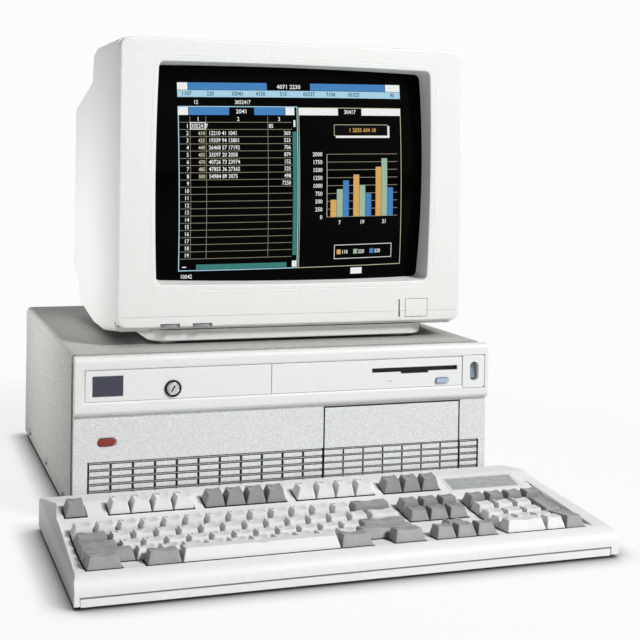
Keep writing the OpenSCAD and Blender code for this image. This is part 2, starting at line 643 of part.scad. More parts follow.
module monitor_bezel() color([0.89, 0.89, 0.85]) {
    sx0 = mon_shift - screen_w / 2;
    sx1 = mon_shift + screen_w / 2;
    back = mon_y + frame_d;
    difference() {
        union() {
            difference() {
                union() {
                    round_rect_y(mon_x0, mon_x1, mon_z0, mon_z1, mon_y, back, 10);
                    round_rect_y(mon_x0 + wall + fit, mon_x1 - wall - fit, mon_z0 + wall + fit,
                                 mon_z1 - wall - fit, back - eps, back + 8, 8);
                }
                round_rect_y(mon_x0 + 2 * wall, mon_x1 - 2 * wall, mon_z0 + 2 * wall,
                             mon_z1 - 2 * wall, mon_y + wall, back + 9, 6);
            }
            // Wall round the screen recess, cut to follow the bulging glass
            difference() {
                span([sx0 - wall, mon_y + 1, screen_z0 - wall], [sx1 + wall, mon_y + 28, screen_z1 + wall]);
                translate([mon_shift, glass_y + glass_r, screen_mid]) sphere(r = glass_r + fit, $fn = 360);
            }
            // Hubs that the two control wheels hang in
            for (x = [bright_x, contrast_x]) {
                translate([x, wheel_y, wheel_z + wheel_t + 1]) cylinder(r = 4, h = 14);
                span([x - 1, mon_y + 1, wheel_z + wheel_t + 4], [x + 1, wheel_y, wheel_z + wheel_t + 14]);
            }
        }
        leaning_shaft(sx0, sx1, screen_z0, screen_z1, mon_y, mon_y + recess_d, recess_in);
        span([sx0 + 1, mon_y - 1, screen_z0 + 1], [sx1 - 1, mon_y + 0.02, screen_z1 - 1]);
        span([sx0 + recess_in, mon_y + recess_d - 1, screen_z0 + recess_in],
             [sx1 - recess_in, mon_y + 30, screen_z1 - recess_in]);
        // Wheel slots and the wheels' bores
        for (x = [bright_x, contrast_x]) {
            span([x - 14.5, mon_y + wall + 0.5, mon_z0 - 1], [x + 14.5, back + 14, wheel_z + wheel_t + 0.6]);
            span([x - 9, mon_y - 1, mon_z0 - 1], [x + 9, mon_y + wall + 1, wheel_z + wheel_t + 0.6]);
            translate([x, wheel_y, wheel_z]) cylinder(r = 2 + running, h = 30);
        }
        // Power button and lamp
        span([mon_button_x - mon_button_w / 2 - 0.5, mon_y - 1, mon_button_z - mon_button_h / 2 - 0.5],
             [mon_button_x + mon_button_w / 2 + 0.5, mon_y + wall + 3 + mon_button_travel,
              mon_button_z + mon_button_h / 2 + 0.5]);
        span([lamp_x - 0.9, mon_y - 1, mon_button_z - mon_button_h / 2],
             [lamp_x + 0.9, mon_y + wall + 1, mon_button_z + mon_button_h / 2]);
    }
}

// Rear half of the cabinet, with air slots and a recess for the plinth
module monitor_shell() color([0.86, 0.86, 0.82]) {
    y0 = mon_y + frame_d + 0.2;
    difference() {
        union() {
            difference() {
                intersection() {
                    side_prism(cabinet, mon_x0, mon_x1);
                    round_rect_y(mon_x0, mon_x1, case_h, mon_z1, y0, mon_y + mon_d + 1, 10);
                }
                // Hollow, open to the front
                translate([mon_x0 + wall, 0, 0]) rotate([90, 0, 90]) linear_extrude(mon_w - 2 * wall)
                    offset(delta = -wall) polygon(cabinet);
                span([mon_x0 + wall, y0 - 1, mon_z0 + wall],
                    [mon_x1 - wall, mon_y + frame_d + wall + 1, mon_z1 - wall]);
                span([mon_shift - tray_w / 2 - 1, y0 - 1, case_h],
                     [mon_shift + tray_w / 2 + 1, floor_back + 6, tray_top + 0.3]);
                // Room for the control wheels' rims
                for (x = [bright_x, contrast_x])
                    span([x - wheel_r - 1.5, y0 - 1, wheel_z - 0.4],
                         [x + wheel_r + 1.5, mon_y + frame_d + wall + 2, mon_z0 + wall + 1]);
            }
            // Floor over the plinth
            span([mon_shift - tray_w / 2 - 3, y0, tray_top + 0.3],
                 [mon_shift + tray_w / 2 + 3, floor_back, tray_top + 0.3 + wall]);
            // Housing round the tube's neck
            difference() {
                span([mon_shift - 95, mon_y + mon_d - eps, mon_z0 + 60],
                    [mon_shift + 95, mon_y + mon_d + 44, mon_z1 - 75]);
                span([mon_shift - 95 + wall, mon_y + mon_d - 5, mon_z0 + 60 + wall],
                     [mon_shift + 95 - wall, mon_y + mon_d + 44 - wall, mon_z1 - 75 - wall]);
            }
        }
        span([mon_shift - 95 + wall, mon_y + mon_d - 5, mon_z0 + 60 + wall],
             [mon_shift + 95 - wall, mon_y + mon_d + 20, mon_z1 - 75 - wall]);
        // Air slots in the top and in the back
        for (i = [-9 : 9], row = [0, 1])
            span([mon_shift + i * 16 - 5, mon_y + 60 + row * 42, mon_z1 - wall - 1],
                 [mon_shift + i * 16 + 5, mon_y + 92 + row * 42, mon_z1 + 1]);
        for (i = [0 : 7])
            span([mon_shift - 70, mon_y + mon_d + 38, mon_z0 + 80 + i * 14],
                [mon_shift + 70, mon_y + mon_d + 50, mon_z0 + 85 + i * 14]);
        // Mains inlet and signal cable gland
        span([mon_x0 + 44, mon_y + mon_d - 5, mon_z0 + 44], [mon_x0 + 72, mon_y + mon_d + 1, mon_z0 + 66]);
        rod_y(mon_x0 + 104, mon_y + mon_d - 5, mon_y + mon_d + 1, mon_z0 + 46, 6);
    }
}

// Glass tube: bulging face, funnel and neck, hollow inside
module picture_tube() color([0.12, 0.13, 0.14]) {
    w = screen_w + 6;
    h = screen_h + 6;
    difference() {
        union() {
            intersection() {
                translate([mon_shift, glass_y + glass_r, screen_mid]) sphere(r = glass_r, $fn = 360);
                round_rect_y(mon_shift - w / 2, mon_shift + w / 2, screen_mid - h / 2, screen_mid + h / 2,
                             glass_y, funnel_y, 18);
            }
            hull() {
                span([mon_shift - w / 2 + 2, funnel_y - eps, screen_mid - h / 2 + 2],
                     [mon_shift + w / 2 - 2, funnel_y + 1, screen_mid + h / 2 - 2]);
                rod_y(mon_shift, neck_y - 1, neck_y, screen_mid, neck_r + 1, $fn = 32);
            }
            rod_y(mon_shift, neck_y - 5, mon_y + mon_d - 15, screen_mid, neck_r);
        }
        // Vacuum inside
        span([mon_shift - w / 2 + 12, glass_y + 34, screen_mid - h / 2 + 12],
             [mon_shift + w / 2 - 12, funnel_y + eps, screen_mid + h / 2 - 12]);
        hull() {
            span([mon_shift - w / 2 + 12, funnel_y - eps, screen_mid - h / 2 + 12],
                 [mon_shift + w / 2 - 12, funnel_y + 1, screen_mid + h / 2 - 12]);
            rod_y(mon_shift, neck_y - 11, neck_y - 10, screen_mid, 10, $fn = 32);
        }
    }
}

module deflection_yoke() color([0.55, 0.3, 0.14])
    difference() {
        union() {
            rod_y(mon_shift, neck_y + 1, neck_y + 10, screen_mid, 46);
            rod_y(mon_shift, neck_y + 10 - eps, neck_y + 38, screen_mid, 34);
            rod_y(mon_shift, neck_y + 38 - eps, neck_y + 44, screen_mid, 40);
        }
        rod_y(mon_shift, neck_y, neck_y + 46, screen_mid, neck_r + 0.3);
    }

// Deflection and video boards, with the line transformer
module monitor_board() color([0.55, 0.45, 0.25]) {
    z = mon_z0 + 8;
    top = z + 1.6;
    half = tray_w / 2;
    y0 = mon_y + 40;
    y1 = floor_back - 8;
    span([mon_shift - half, y0, z], [mon_shift + half, y1, top]);
    for (x = [10 - half, half - 10], y = [y0 + 10, y1 - 10])
        translate([mon_shift + x, y, tray_top + wall + 0.3]) cylinder(r = 3,
            h = z - tray_top - wall - 0.3 + eps);
    span([mon_shift + half - 54, y1 - 64, top - eps], [mon_shift + half - 14, y1 - 14, top + 66]);
    for (i = [0 : 3]) translate([mon_shift - half + 30 + i * 34, y1 - 29, top - eps]) cylinder(r = 11,
        h = 34);
    span([mon_shift - half + 15, y1 - 94, top - eps], [mon_shift - half + 19, y1 - 44, top + 40]);
    // Board on the end of the tube's neck
    difference() {
        span([mon_shift - 34, neck_board_y, screen_mid - 40],
            [mon_shift + 34, neck_board_y + 1.6, screen_mid + 40]);
        rod_y(mon_shift, neck_board_y - 2, neck_board_y + 3, screen_mid, neck_r + 0.3);
    }
}

module monitor_button() color([0.88, 0.88, 0.84]) {
    w = mon_button_w / 2;
    h = mon_button_h / 2;
    span([mon_button_x - w, mon_y - 0.2, mon_button_z - h],
        [mon_button_x + w, mon_y + wall + 2, mon_button_z + h]);
    span([mon_button_x - w - 2, mon_y + wall + 0.3, mon_button_z - h + 2],
         [mon_button_x + w + 2, mon_y + wall + 2, mon_button_z + h - 2]);
}

module monitor_lamp() color([0.1, 0.3, 0.15])
    span([lamp_x - 0.7, mon_y + 0.2, mon_button_z - mon_button_h / 2 + 0.3],
         [lamp_x + 0.7, mon_y + wall + 3, mon_button_z - mon_button_h / 2 + 5.5]);

// A control wheel with a toothed rim and its axle above
module control_wheel(x) {
    translate([x, wheel_y, wheel_z]) {
        difference() {
            cylinder(r = wheel_r, h = wheel_t);
            for (i = [0 : 35]) rotate([0, 0, i * 10]) translate([wheel_r, 0, -1]) cylinder(r = 0.45,
                h = wheel_t + 2, $fn = 16);
        }
        cylinder(r = 2, h = wheel_t + 16);
    }
}

module brightness_wheel() color([0.6, 0.6, 0.6]) control_wheel(bright_x);

module contrast_wheel() color([0.6, 0.6, 0.6]) control_wheel(contrast_x);

// Plinth with rounded front corners, hollow underneath
module monitor_base() color([0.86, 0.86, 0.82]) {
    y0 = mon_y + 11;
    z0 = case_h + 3;
    r = 20;
    difference() {
        union() {
            span([mon_shift - tray_w / 2, y0 + r, z0], [mon_shift + tray_w / 2, y0 + tray_d, tray_top]);
            span([mon_shift - tray_w / 2 + r, y0, z0], [mon_shift + tray_w / 2 - r, y0 + r + eps, tray_top]);
            for (s = [-1, 1]) translate([mon_shift + s * (tray_w / 2 - r), y0 + r, z0]) cylinder(r = r,
                h = tray_top - z0);
        }
        span([mon_shift - tray_w / 2 + 12, y0 + 12, z0 - 1],
            [mon_shift + tray_w / 2 - 12, y0 + tray_d - 12, tray_top - wall]);
    }
    // Bosses over the feet
    for (p = foot_places) translate([p[0], p[1], z0]) cylinder(r = 11, h = tray_top - z0 - 1);
}

foot_places = [for (x = [-1, 1], y = [20, tray_d - 12]) [mon_shift + x * (tray_w / 2 - 25), mon_y + 11 + y]];
module monitor_feet() color([0.2, 0.2, 0.2])
    for (p = foot_places) translate([p[0], p[1], case_h]) cylinder(r = 9, h = 3);

module monitor_inlet() color([0.1, 0.1, 0.1]) {
    x = mon_x0 + 44.3;
    z = mon_z0 + 44.3;
    y1 = mon_y + mon_d;
    difference() {
        span([x, y1 - 22, z], [x + 27.4, y1 + 1, z + 21.4]);
        span([x + 2, y1 - 18, z + 2.4], [x + 25.4, y1 + 2, z + 19]);
    }
    for (dx = [6.7, 13.7, 20.7]) span([x + dx - 1, y1 - 19, z + 8], [x + dx + 1, y1 - 3, z + 12]);
    // Gland where the signal cable leaves
    difference() {
        rod_y(mon_x0 + 104, y1 - 4, y1 + 6, mon_z0 + 46, 5.7);
        rod_y(mon_x0 + 104, y1 - 5, y1 + 7, mon_z0 + 46, 3.4);
    }
}

// ---- Keyboard: places ----
key_rows_x = 11.5;                        // left side of the keyboard to the first key column
keys_wide = 23;                           // key columns across the whole keyboard
right_margin = 24.5;                      // last key column to the right side
kb_w = key_rows_x + keys_wide * key_pitch + right_margin;
kb_x0 = -kb_w / 2;
kb_x1 = kb_w / 2;
kb_back = kb_y + kb_d;
deck_low = kb_y + 50;                     // where the hollow deck is lowest
left_cheek = 4.6;                         // width of the upper half's foot along each side
right_foot = 8;
row_front = kb_y + 15.9;                  // front edge of the bottom key row
function_front = kb_y + 136.4;            // front edge of the function key row
crest = kb_y + 160;                       // the deck's highest line
back_z = 29.5;                            // height of the keyboard's back edge
seam_z = 9.5;                             // joint between its upper and lower halves
base_z = 2;                               // underside of the lower half
cheek_front = 24.6;                       // the straight side cheeks' height at the front
cheek_slope = 0.0735;
key_gap = 0.75;                           // gap between neighbouring caps
well_gap = 0.9;                           // gap from a cap's pitch square to its well's edge
cap_lift = 0.4;                           // a cap's lower rim above the deck at rest
// How far the caps' top edges stand below the cap height, row by row from the space bar's row
front_sink = [0.7, 2.1, 2.5, 1.8, -0.3, 0];
back_sink = [0.9, 3.1, 3.4, 2.4, 1.3, 0.7];
plate_drop = 9;                           // switch plate below the deck
plate_t = 1.2;
housing_h = 5;
stem_w = 4.4;
stem_hole = 6.4;

function deck_at(y) = deck_z + deck_r - sqrt(pow(deck_r, 2) - pow(y - deck_low, 2));
function tilt_at(y) = asin((y - deck_low) / deck_r);
function key_x(u) = kb_x0 + key_rows_x + u * key_pitch;
// Row 0 is the space bar's row, row 4 the digits, and row 5 the function keys
function row_y(row) = row == 5 ? function_front : row_front + row * key_pitch;

// Keys as [first column, width in columns, row, height in rows]
function run_of(first, count, row) = [for (i = [0 : count - 1]) [first + i, 1, row, 1]];
escape_keys = [[0, 1, 5, 1]];
function_keys = concat(run_of(2, 4, 5), run_of(6.5, 4, 5), run_of(11, 4, 5));
system_keys = run_of(15.5, 3, 5);
number_keys = concat(run_of(0, 13, 4), [[13, 2, 4, 1]]);
upper_keys = concat([[0, 1.5, 3, 1]], run_of(1.5, 12, 3), [[13.5, 1.5, 3, 1]]);
home_keys = concat([[0, 1.75, 2, 1]], run_of(1.75, 11, 2));
enter_keys = [[12.75, 2.25, 2, 1]];
lower_keys = concat([[0, 2.25, 1, 1]], run_of(2.25, 10, 1), [[12.25, 2.75, 1, 1]]);
control_keys = [[0, 1.5, 0, 1], [2.5, 1.5, 0, 1], [11, 1.5, 0, 1], [13.5, 1.5, 0, 1]];
space_keys = [[4, 7, 0, 1]];
editing_keys = concat(run_of(15.5, 3, 4), run_of(15.5, 3, 3));
cursor_keys = concat([[16.5, 1, 1, 1]], run_of(15.5, 3, 0));
numpad_keys = concat(run_of(19, 4, 4), run_of(19, 3, 3), run_of(19, 3, 2), run_of(19, 3, 1),
    [[19, 2, 0, 1], [21, 1, 0, 1], [22, 1, 2, 2], [22, 1, 0, 2]]);
all_keys = concat(escape_keys, function_keys, system_keys, number_keys, upper_keys, home_keys, enter_keys,
    lower_keys, control_keys, space_keys, editing_keys, cursor_keys, numpad_keys);

// Wells as [first column, last column, first row, last row]
wells = [[0, 1, 5, 5], [2, 6, 5, 5], [6.5, 10.5, 5, 5], [11, 15, 5, 5], [15.5, 18.5, 5, 5],
    [0, 15, 1, 4], [0, 1.5, 0, 1], [2.5, 12.5, 0, 1], [13.5, 15, 0, 1],
    [15.5, 18.5, 3, 4], [16.5, 17.5, 0, 1], [15.5, 18.5, 0, 0], [19, 23, 0, 4]];

// Puts a child into a key's own frame: origin on the deck at its middle, Z along its travel
module at_key(key) {
    y = row_y(key[2]) + key[3] * key_pitch / 2;
    translate([key_x(key[0] + key[1] / 2), y, deck_at(y)]) rotate([tilt_at(y), 0, 0]) children();
}

// A cap with leaning sides, hollow below, on its square stem
module cap(w, d, front_h, back_h) {
    lean_side = 2.9;
    lean_front = 3.6;
    lean_back = 1.8;
    difference() {
        intersection() {
            translate([0, d / 2 + 1, 0]) rotate([90, 0, 0]) linear_extrude(d + 2)
                polygon([[-w / 2, 0], [w / 2, 0], [w / 2 - lean_side, cap_h], [w / 2 - lean_side, cap_h + 1],
                         [lean_side - w / 2, cap_h + 1], [lean_side - w / 2, cap_h]]);
            translate([-w / 2 - 1, 0, 0]) rotate([90, 0, 90]) linear_extrude(w + 2)
                polygon([[-d / 2, 0], [d / 2, 0], [d / 2 - lean_back, back_h],
                    [lean_front - d / 2, front_h]]);
        }
        translate([4.4 - w / 2, 4.9 - d / 2, -1]) cube([w - 8.8, d - 8.6, back_h - 1]);
    }
    translate([-stem_w / 2, -stem_w / 2, -6.4]) cube([stem_w, stem_w, back_h + 5]);
}

module key_caps(keys)
    for (key = keys) at_key(key) translate([0, 0, cap_lift])
        cap(key[1] * key_pitch - key_gap, key[3] * key_pitch - key_gap,
            cap_h - front_sink[key[2]], cap_h - back_sink[key[2] + key[3] - 1]);

// Side outline of the upper half, as [y, z], drawn in by an inset
function deck_outline(inset) = concat(
    [[kb_y + inset, inset > 0 ? -5 : seam_z], [kb_y + inset, 15], [kb_y + 2 + inset, 20 - inset],
     [kb_y + 7 + inset, 23.6 - inset]],
    [for (v = [14 : 6 : 158]) [kb_y + v, deck_at(kb_y + v) - inset]],
    [[crest + 3, deck_at(crest) + 0.3 - inset], [crest + 8, deck_at(crest) - 0.3 - inset],
     [kb_back - 3 - inset, back_z - inset], [kb_back - inset, back_z - 3 - inset],
     [kb_back - inset, inset > 0 ? -5 : seam_z]]);

// Side outline of a cheek: straight along the top where the deck is hollow
cheek_end = kb_y + 150;
cheek_outline = [[kb_y, 3], [kb_y, 15], [kb_y + 2, 20], [kb_y + 7, 23.6], [kb_y + 12.4, cheek_front],
    [cheek_end, cheek_front + cheek_slope * 137.6], [crest - 2, deck_at(crest) - 0.2],
    [crest + 8, deck_at(crest) - 0.3], [kb_back - 3, back_z], [kb_back, back_z - 3], [kb_back, 3]];

module keyboard_top() color([0.86, 0.86, 0.82]) {
    right_cheek = 16;
    shoulder_z = 21;                      // the sides' top edges at the front
    shoulder_rise = 1.8;
    difference() {
        union() {
            side_prism(deck_outline(0), kb_x0, kb_x1);
            side_prism(cheek_outline, kb_x0, kb_x0 + left_cheek);
            side_prism(cheek_outline, kb_x1 - right_cheek, kb_x1);
        }
        // Hollow, open below: narrow under the deck, wider where the lower half fits in
        side_prism(deck_outline(wall), kb_x0 + 9.6, kb_x1 - right_cheek);
        span([kb_x0 + left_cheek, kb_y + wall, -5], [kb_x1 - right_foot, kb_back - wall, seam_z + 3]);
        span([kb_x0 + left_cheek, kb_y - 1, -5], [kb_x1 - right_foot, kb_back + 1, seam_z]);
        // Shoulders: the outer top edges slope down to the sides
        for (s = [0, 1]) translate([s == 0 ? kb_x0 : kb_x1, kb_y, shoulder_z]) mirror([s, 0, 0])
            rotate([shoulder_rise, 0, 0]) rotate([0, -60, 0]) translate([-10, -5, 0])
                cube([40, kb_d + 15, 20]);
        // Key wells
        for (w = wells) {
            y0 = row_y(w[2]) - well_gap;
            y1 = row_y(w[3]) + key_pitch + well_gap;
            mid = (y0 + y1) / 2;
            if (w[2] == 5) translate([0, mid, deck_at(mid)]) rotate([tilt_at(mid), 0, 0])
                span([key_x(w[0]) - 0.6, -(y1 - y0) / 2, -8], [key_x(w[1]) + 0.6, (y1 - y0) / 2, 8]);
            else span([key_x(w[0]) - 0.6, y0, 8], [key_x(w[1]) + 0.6, y1, 45]);
        }
        // Recess of the label plate
        translate([0, label_y, deck_at(label_y)]) rotate([tilt_at(label_y), 0, 0])
            span([label_x0 - 0.3, -label_d / 2 - 0.3, -1.2], [label_x1 + 0.3, label_d / 2 + 0.3, 4]);
    }
}

label_x0 = key_x(19);
label_x1 = key_x(22.95);
label_d = 27;
label_y = function_front + 8.6;
module label_plate() color([0.55, 0.55, 0.58])
    translate([0, label_y, deck_at(label_y)]) rotate([tilt_at(label_y), 0, 0])
        span([label_x0, -label_d / 2, -1.1], [label_x1, label_d / 2, 0.1]);

// Lower half: a tray that fits between the cheeks' feet
module keyboard_bottom() color([0.83, 0.83, 0.79]) {
    x0 = kb_x0 + left_cheek + 0.3;
    x1 = kb_x1 - right_foot - 0.3;
    difference() {
        union() {
            difference() {
                span([x0, kb_y + 0.6, base_z], [x1, kb_back - 0.6, seam_z - 0.3]);
                span([x0 + wall, kb_y + 0.6 + wall, base_z + wall - 0.6],
                    [x1 - wall, kb_back - 0.6 - wall, seam_z + 1]);
            }
            // Raised walls of the pockets that the feet fold into
            for (x = foot_x) span([x - 19, foot_y - 34, base_z + eps], [x + 19, foot_y + 8, base_z + 5.6]);
        }
        for (x = foot_x) {
            span([x - 16.6, foot_y - 31, base_z - 1], [x + 16.6, foot_y + 5, base_z + 4.2]);
            rod_x(x - 18, x + 18, foot_y, foot_z, 1.2 + running);
        }
    }
    // Posts that carry the switch plate
    for (p = post_places) translate([p[0], p[1], base_z + 1]) cylinder(r = 3,
        h = post_top(p[1]) - base_z - 1);
}

foot_x = [kb_x0 + 60, kb_x1 - 60];
foot_y = kb_back - 16;
foot_z = base_z + 2.1;
module flip_foot(x) {
    rod_x(x - 17.7, x + 17.7, foot_y, foot_z, 1.2);
    rod_x(x - 16.2, x + 16.2, foot_y, foot_z, 1.9);
    span([x - 16.2, foot_y - 27, base_z + 0.4], [x + 16.2, foot_y, base_z + 3.4]);
}
module flip_foot_left() color([0.8, 0.8, 0.76]) flip_foot(foot_x[0]);
module flip_foot_right() color([0.8, 0.8, 0.76]) flip_foot(foot_x[1]);

// Posts stand in the gaps between the key clusters
post_places = [for (u = [15.25, 18.75], v = [24, 84, 147]) [key_x(u), kb_y + v]];
function post_top(y) = deck_at(y) - plate_drop - plate_t - 1.3;

// Switch plate bent along the rows, with a square housing under every cap
module key_switches() color([0.3, 0.3, 0.32])
    difference() {
        union() {
            side_prism(plate_outline, key_x(0) - 0.6, key_x(keys_wide) + 0.6);
            for (row = [0 : 5]) in_row(row, -plate_drop - 0.3)
                linear_extrude(housing_h + 0.3) row_squares(row, 14.6);
        }
        for (row = [0 : 5]) in_row(row, -plate_drop - plate_t - 1) linear_extrude(housing_h + plate_t + 2) {
            row_squares(row, stem_hole);
            tall_key_squares(row, stem_hole);
        }
    }

// Puts a child into a row's own frame, up from the deck at the row's middle
module in_row(row, up) {
    y = row_y(row) + key_pitch / 2;
    translate([0, y, deck_at(y)]) rotate([tilt_at(y), 0, 0]) translate([0, 0, up]) children();
}

// A point of the switch plate, dy from its row's middle and up from its underside, as [y, z]
function plate_point(row, dy, up) = let (y = row_y(row) + key_pitch / 2, t = tilt_at(y),
    z = up - plate_drop - plate_t)
    [y + dy * cos(t) - z * sin(t), deck_at(y) + dy * sin(t) + z * cos(t)];

plate_outline = concat([for (row = [0 : 5], side = [-1, 1]) plate_point(row, side * key_pitch / 2, 0)],
    [for (row = [5 : -1 : 0], side = [1, -1]) plate_point(row, side * key_pitch / 2, plate_t)]);

// Squares under the two-row keys, whose middle lies on the joint between two rows
module tall_key_squares(row, w)
    for (key = all_keys) if (key[3] == 2 && (key[2] == row || key[2] + 1 == row))
        translate([key_x(key[0] + key[1] / 2), (key[2] == row ? 1 : -1) * key_pitch / 2]) square(w,
            center = true);

// Squares centred under the row's keys, in the row's own plane
module row_squares(row, w)
    for (key = all_keys) if (key[2] == row && key[3] == 1)
        translate([key_x(key[0] + key[1] / 2), 0]) square(w, center = true);

module keyboard_board() color([0.2, 0.4, 0.25]) {
    y0 = kb_y + 118;
    difference() {
        span([kb_x0 + 90, y0, base_z + 4], [kb_x1 - 110, y0 + 56, base_z + 5.6]);
        for (p = post_places) translate([p[0], p[1], base_z]) cylinder(r = 3.6, h = 8);
    }
    for (i = [0 : 3]) span([kb_x0 + 130 + i * 50, y0 + 34, base_z + 5.6 - eps],
        [kb_x0 + 155 + i * 50, y0 + 44, base_z + 9]);
    for (x = [kb_x0 + 96, kb_x1 - 116], y = [y0 + 6, y0 + 50])
        translate([x, y, base_z + 2]) cylinder(r = 2.5, h = 2 + eps);
}

module keyboard_pads() color([0.15, 0.15, 0.15])
    for (x = [kb_x0 + 24, kb_x1 - 28], y = [kb_y + 16, kb_back - 20])
        translate([x, y, 0]) cylinder(r = 6, h = base_z);

module key_escape() color([0.5, 0.5, 0.5]) key_caps(escape_keys);
module keys_function() color([0.85, 0.85, 0.81]) key_caps(function_keys);
module keys_system() color([0.5, 0.5, 0.5]) key_caps(system_keys);
module keys_number_row() color([0.85, 0.85, 0.81]) key_caps(number_keys);
module keys_upper_row() color([0.85, 0.85, 0.81]) key_caps(upper_keys);
module keys_home_row() color([0.85, 0.85, 0.81]) key_caps(home_keys);
module keys_lower_row() color([0.85, 0.85, 0.81]) key_caps(lower_keys);
module keys_control() color([0.5, 0.5, 0.5]) key_caps(control_keys);
module key_space() color([0.85, 0.85, 0.81]) key_caps(space_keys);
module key_enter() color([0.5, 0.5, 0.5]) key_caps(enter_keys);
module keys_editing() color([0.5, 0.5, 0.5]) key_caps(editing_keys);
module keys_cursor() color([0.5, 0.5, 0.5]) key_caps(cursor_keys);
module keys_numpad() color([0.85, 0.85, 0.81]) key_caps(numpad_keys);

chassis_base();
drive_cage();
case_cover();
front_bezel();
left_fascia();
right_fascia();
bay_cover();
badge_plate();
key_lock_body();
key_lock_plug();
reset_button();
switch_plate();
power_rocker();
floppy_drive();
floppy_flap();
eject_button();
drive_light();
case_feet();
power_supply();
supply_fan();
motherboard();
adapter_card();
slot_covers();
hard_drive();
speaker();
case_screws();
monitor_bezel();
monitor_shell();
picture_tube();
deflection_yoke();
monitor_board();
monitor_button();
monitor_lamp();
brightness_wheel();
contrast_wheel();
monitor_base();
monitor_feet();
monitor_inlet();
keyboard_top();
keyboard_bottom();
key_switches();
keyboard_board();
label_plate();
keyboard_pads();
flip_foot_left();
flip_foot_right();
key_escape();
keys_function();
keys_system();
keys_number_row();
keys_upper_row();
keys_home_row();
keys_lower_row();
keys_control();
key_space();
key_enter();
keys_editing();
keys_cursor();
keys_numpad();
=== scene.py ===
"""A desktop computer with its colour monitor and keyboard, dressed in moulded and sheet-metal finishes.

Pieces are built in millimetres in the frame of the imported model, with X to the right, fronts towards -Y and
Z up, and make_piece turns them into the frame's metres. Lengths in finishes and on the stage are in metres.
"""

import math
from collections import namedtuple

import bmesh
import bpy
from bpy.props import FloatProperty, FloatVectorProperty, IntProperty, PointerProperty
from mathutils import Matrix, Vector


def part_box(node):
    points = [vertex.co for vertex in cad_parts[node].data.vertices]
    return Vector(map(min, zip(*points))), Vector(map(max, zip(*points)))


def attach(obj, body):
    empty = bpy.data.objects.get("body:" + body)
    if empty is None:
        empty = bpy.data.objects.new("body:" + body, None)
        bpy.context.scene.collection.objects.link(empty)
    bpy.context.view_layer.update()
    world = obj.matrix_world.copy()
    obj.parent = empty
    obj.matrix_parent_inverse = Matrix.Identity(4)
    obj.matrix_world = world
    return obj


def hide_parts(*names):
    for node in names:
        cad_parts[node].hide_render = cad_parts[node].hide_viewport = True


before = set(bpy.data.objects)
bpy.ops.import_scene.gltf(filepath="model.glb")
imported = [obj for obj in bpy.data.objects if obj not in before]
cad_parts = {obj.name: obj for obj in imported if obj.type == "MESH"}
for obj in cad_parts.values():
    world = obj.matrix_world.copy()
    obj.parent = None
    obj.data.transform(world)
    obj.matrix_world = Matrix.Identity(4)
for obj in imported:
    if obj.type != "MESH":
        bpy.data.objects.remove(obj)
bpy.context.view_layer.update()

bl_info = {
    "name": "Desktop computer",
    "version": (1, 0, 0),
    "blender": (4, 5, 0),
    "location": "View3D > Sidebar > Computer",
    "description": "Builds the cases, screen, keys and stage of a desktop computer around its packed parts",
    "category": "Object",
}

MM = 0.001  # one millimetre in the frame's metres
COMPUTER = "system_and_monitor"  # body of the system unit and monitor
KEYBOARD = "keyboard"  # body of the keyboard's case


# ---------------------------------------------------------------- places

def corners(node):
    """A node's lowest and highest corners, in millimetres."""
    low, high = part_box(node)
    return low / MM, high / MM


def front_middle(node):
    """The middle of a node seen from the front, as x and z in millimetres."""
    low, high = corners(node)
    return (low.x + high.x) / 2, (low.z + high.z) / 2


BEZEL_LOW, BEZEL_HIGH = corners("monitor_bezel")
TUBE_LOW, TUBE_HIGH = corners("picture_tube")
SCREEN_X, SCREEN_Z = front_middle("picture_tube")
GLASS_RADIUS = 850  # of the bulging face of the tube

KEY_PITCH = 19.05
CAP_GAP = 0.75  # between neighbouring caps
KEY_COLUMN_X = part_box("key_escape")[0].x / MM - CAP_GAP / 2  # left edge of the first column
FRONT_ROW_Y = -304.6  # front edge of the space bar's row
FUNCTION_ROW_Y = -184.1  # front edge of the function keys' row
DECK_LOW_Y = -270.5  # line along which the hollow key deck is lowest
DECK_Z = 23.5  # its height there
DECK_RADIUS = 402


def deck_at(y):
    """Height of the hollow key deck."""
    return DECK_Z + DECK_RADIUS - math.sqrt(DECK_RADIUS ** 2 - (y - DECK_LOW_Y) ** 2)


def tilt_at(y):
    """Slope of the hollow key deck, as an angle."""
    return math.asin((y - DECK_LOW_Y) / DECK_RADIUS)


def row_y(row):
    """Front edge of a row of keys."""
    return FUNCTION_ROW_Y if row == 5 else FRONT_ROW_Y + row * KEY_PITCH


def glass_y(x, z):
    """The bulging glass's front."""
    across = (x - SCREEN_X) ** 2 + (z - SCREEN_Z) ** 2
    return TUBE_LOW.y + GLASS_RADIUS - math.sqrt(GLASS_RADIUS ** 2 - across)


# ---------------------------------------------------------------- finishes

def set_sockets(node, values):
    """Gives a shader node's sockets, by name or number, their values."""
    for socket, value in values.items():
        node.inputs[socket].default_value = value


def new_node(tree, kind, values=None, **settings):
    """Adds a shader node with its sockets' values and its own settings."""
    node = tree.nodes.new("ShaderNode" + kind)
    for setting, choice in settings.items():
        setattr(node, setting, choice)
    set_sockets(node, values or {})
    return node


def new_finish(name):
    """A fresh material, its node tree and its main shader."""
    material = bpy.data.materials.new(name)
    material.use_nodes = True
    return material, material.node_tree, material.node_tree.nodes["Principled BSDF"]


def object_grain(tree, scale, detail=3.0, stretch=(1, 1, 1)):
    """A noise pattern fixed to the piece; scale is in waves per metre."""
    place = new_node(tree, "TexCoord")
    mapping = new_node(tree, "Mapping", {"Scale": stretch})
    pattern = new_node(tree, "TexNoise", {"Scale": scale, "Detail": detail})
    tree.links.new(place.outputs["Object"], mapping.inputs["Vector"])
    tree.links.new(mapping.outputs["Vector"], pattern.inputs["Vector"])
    return pattern.outputs["Fac"]


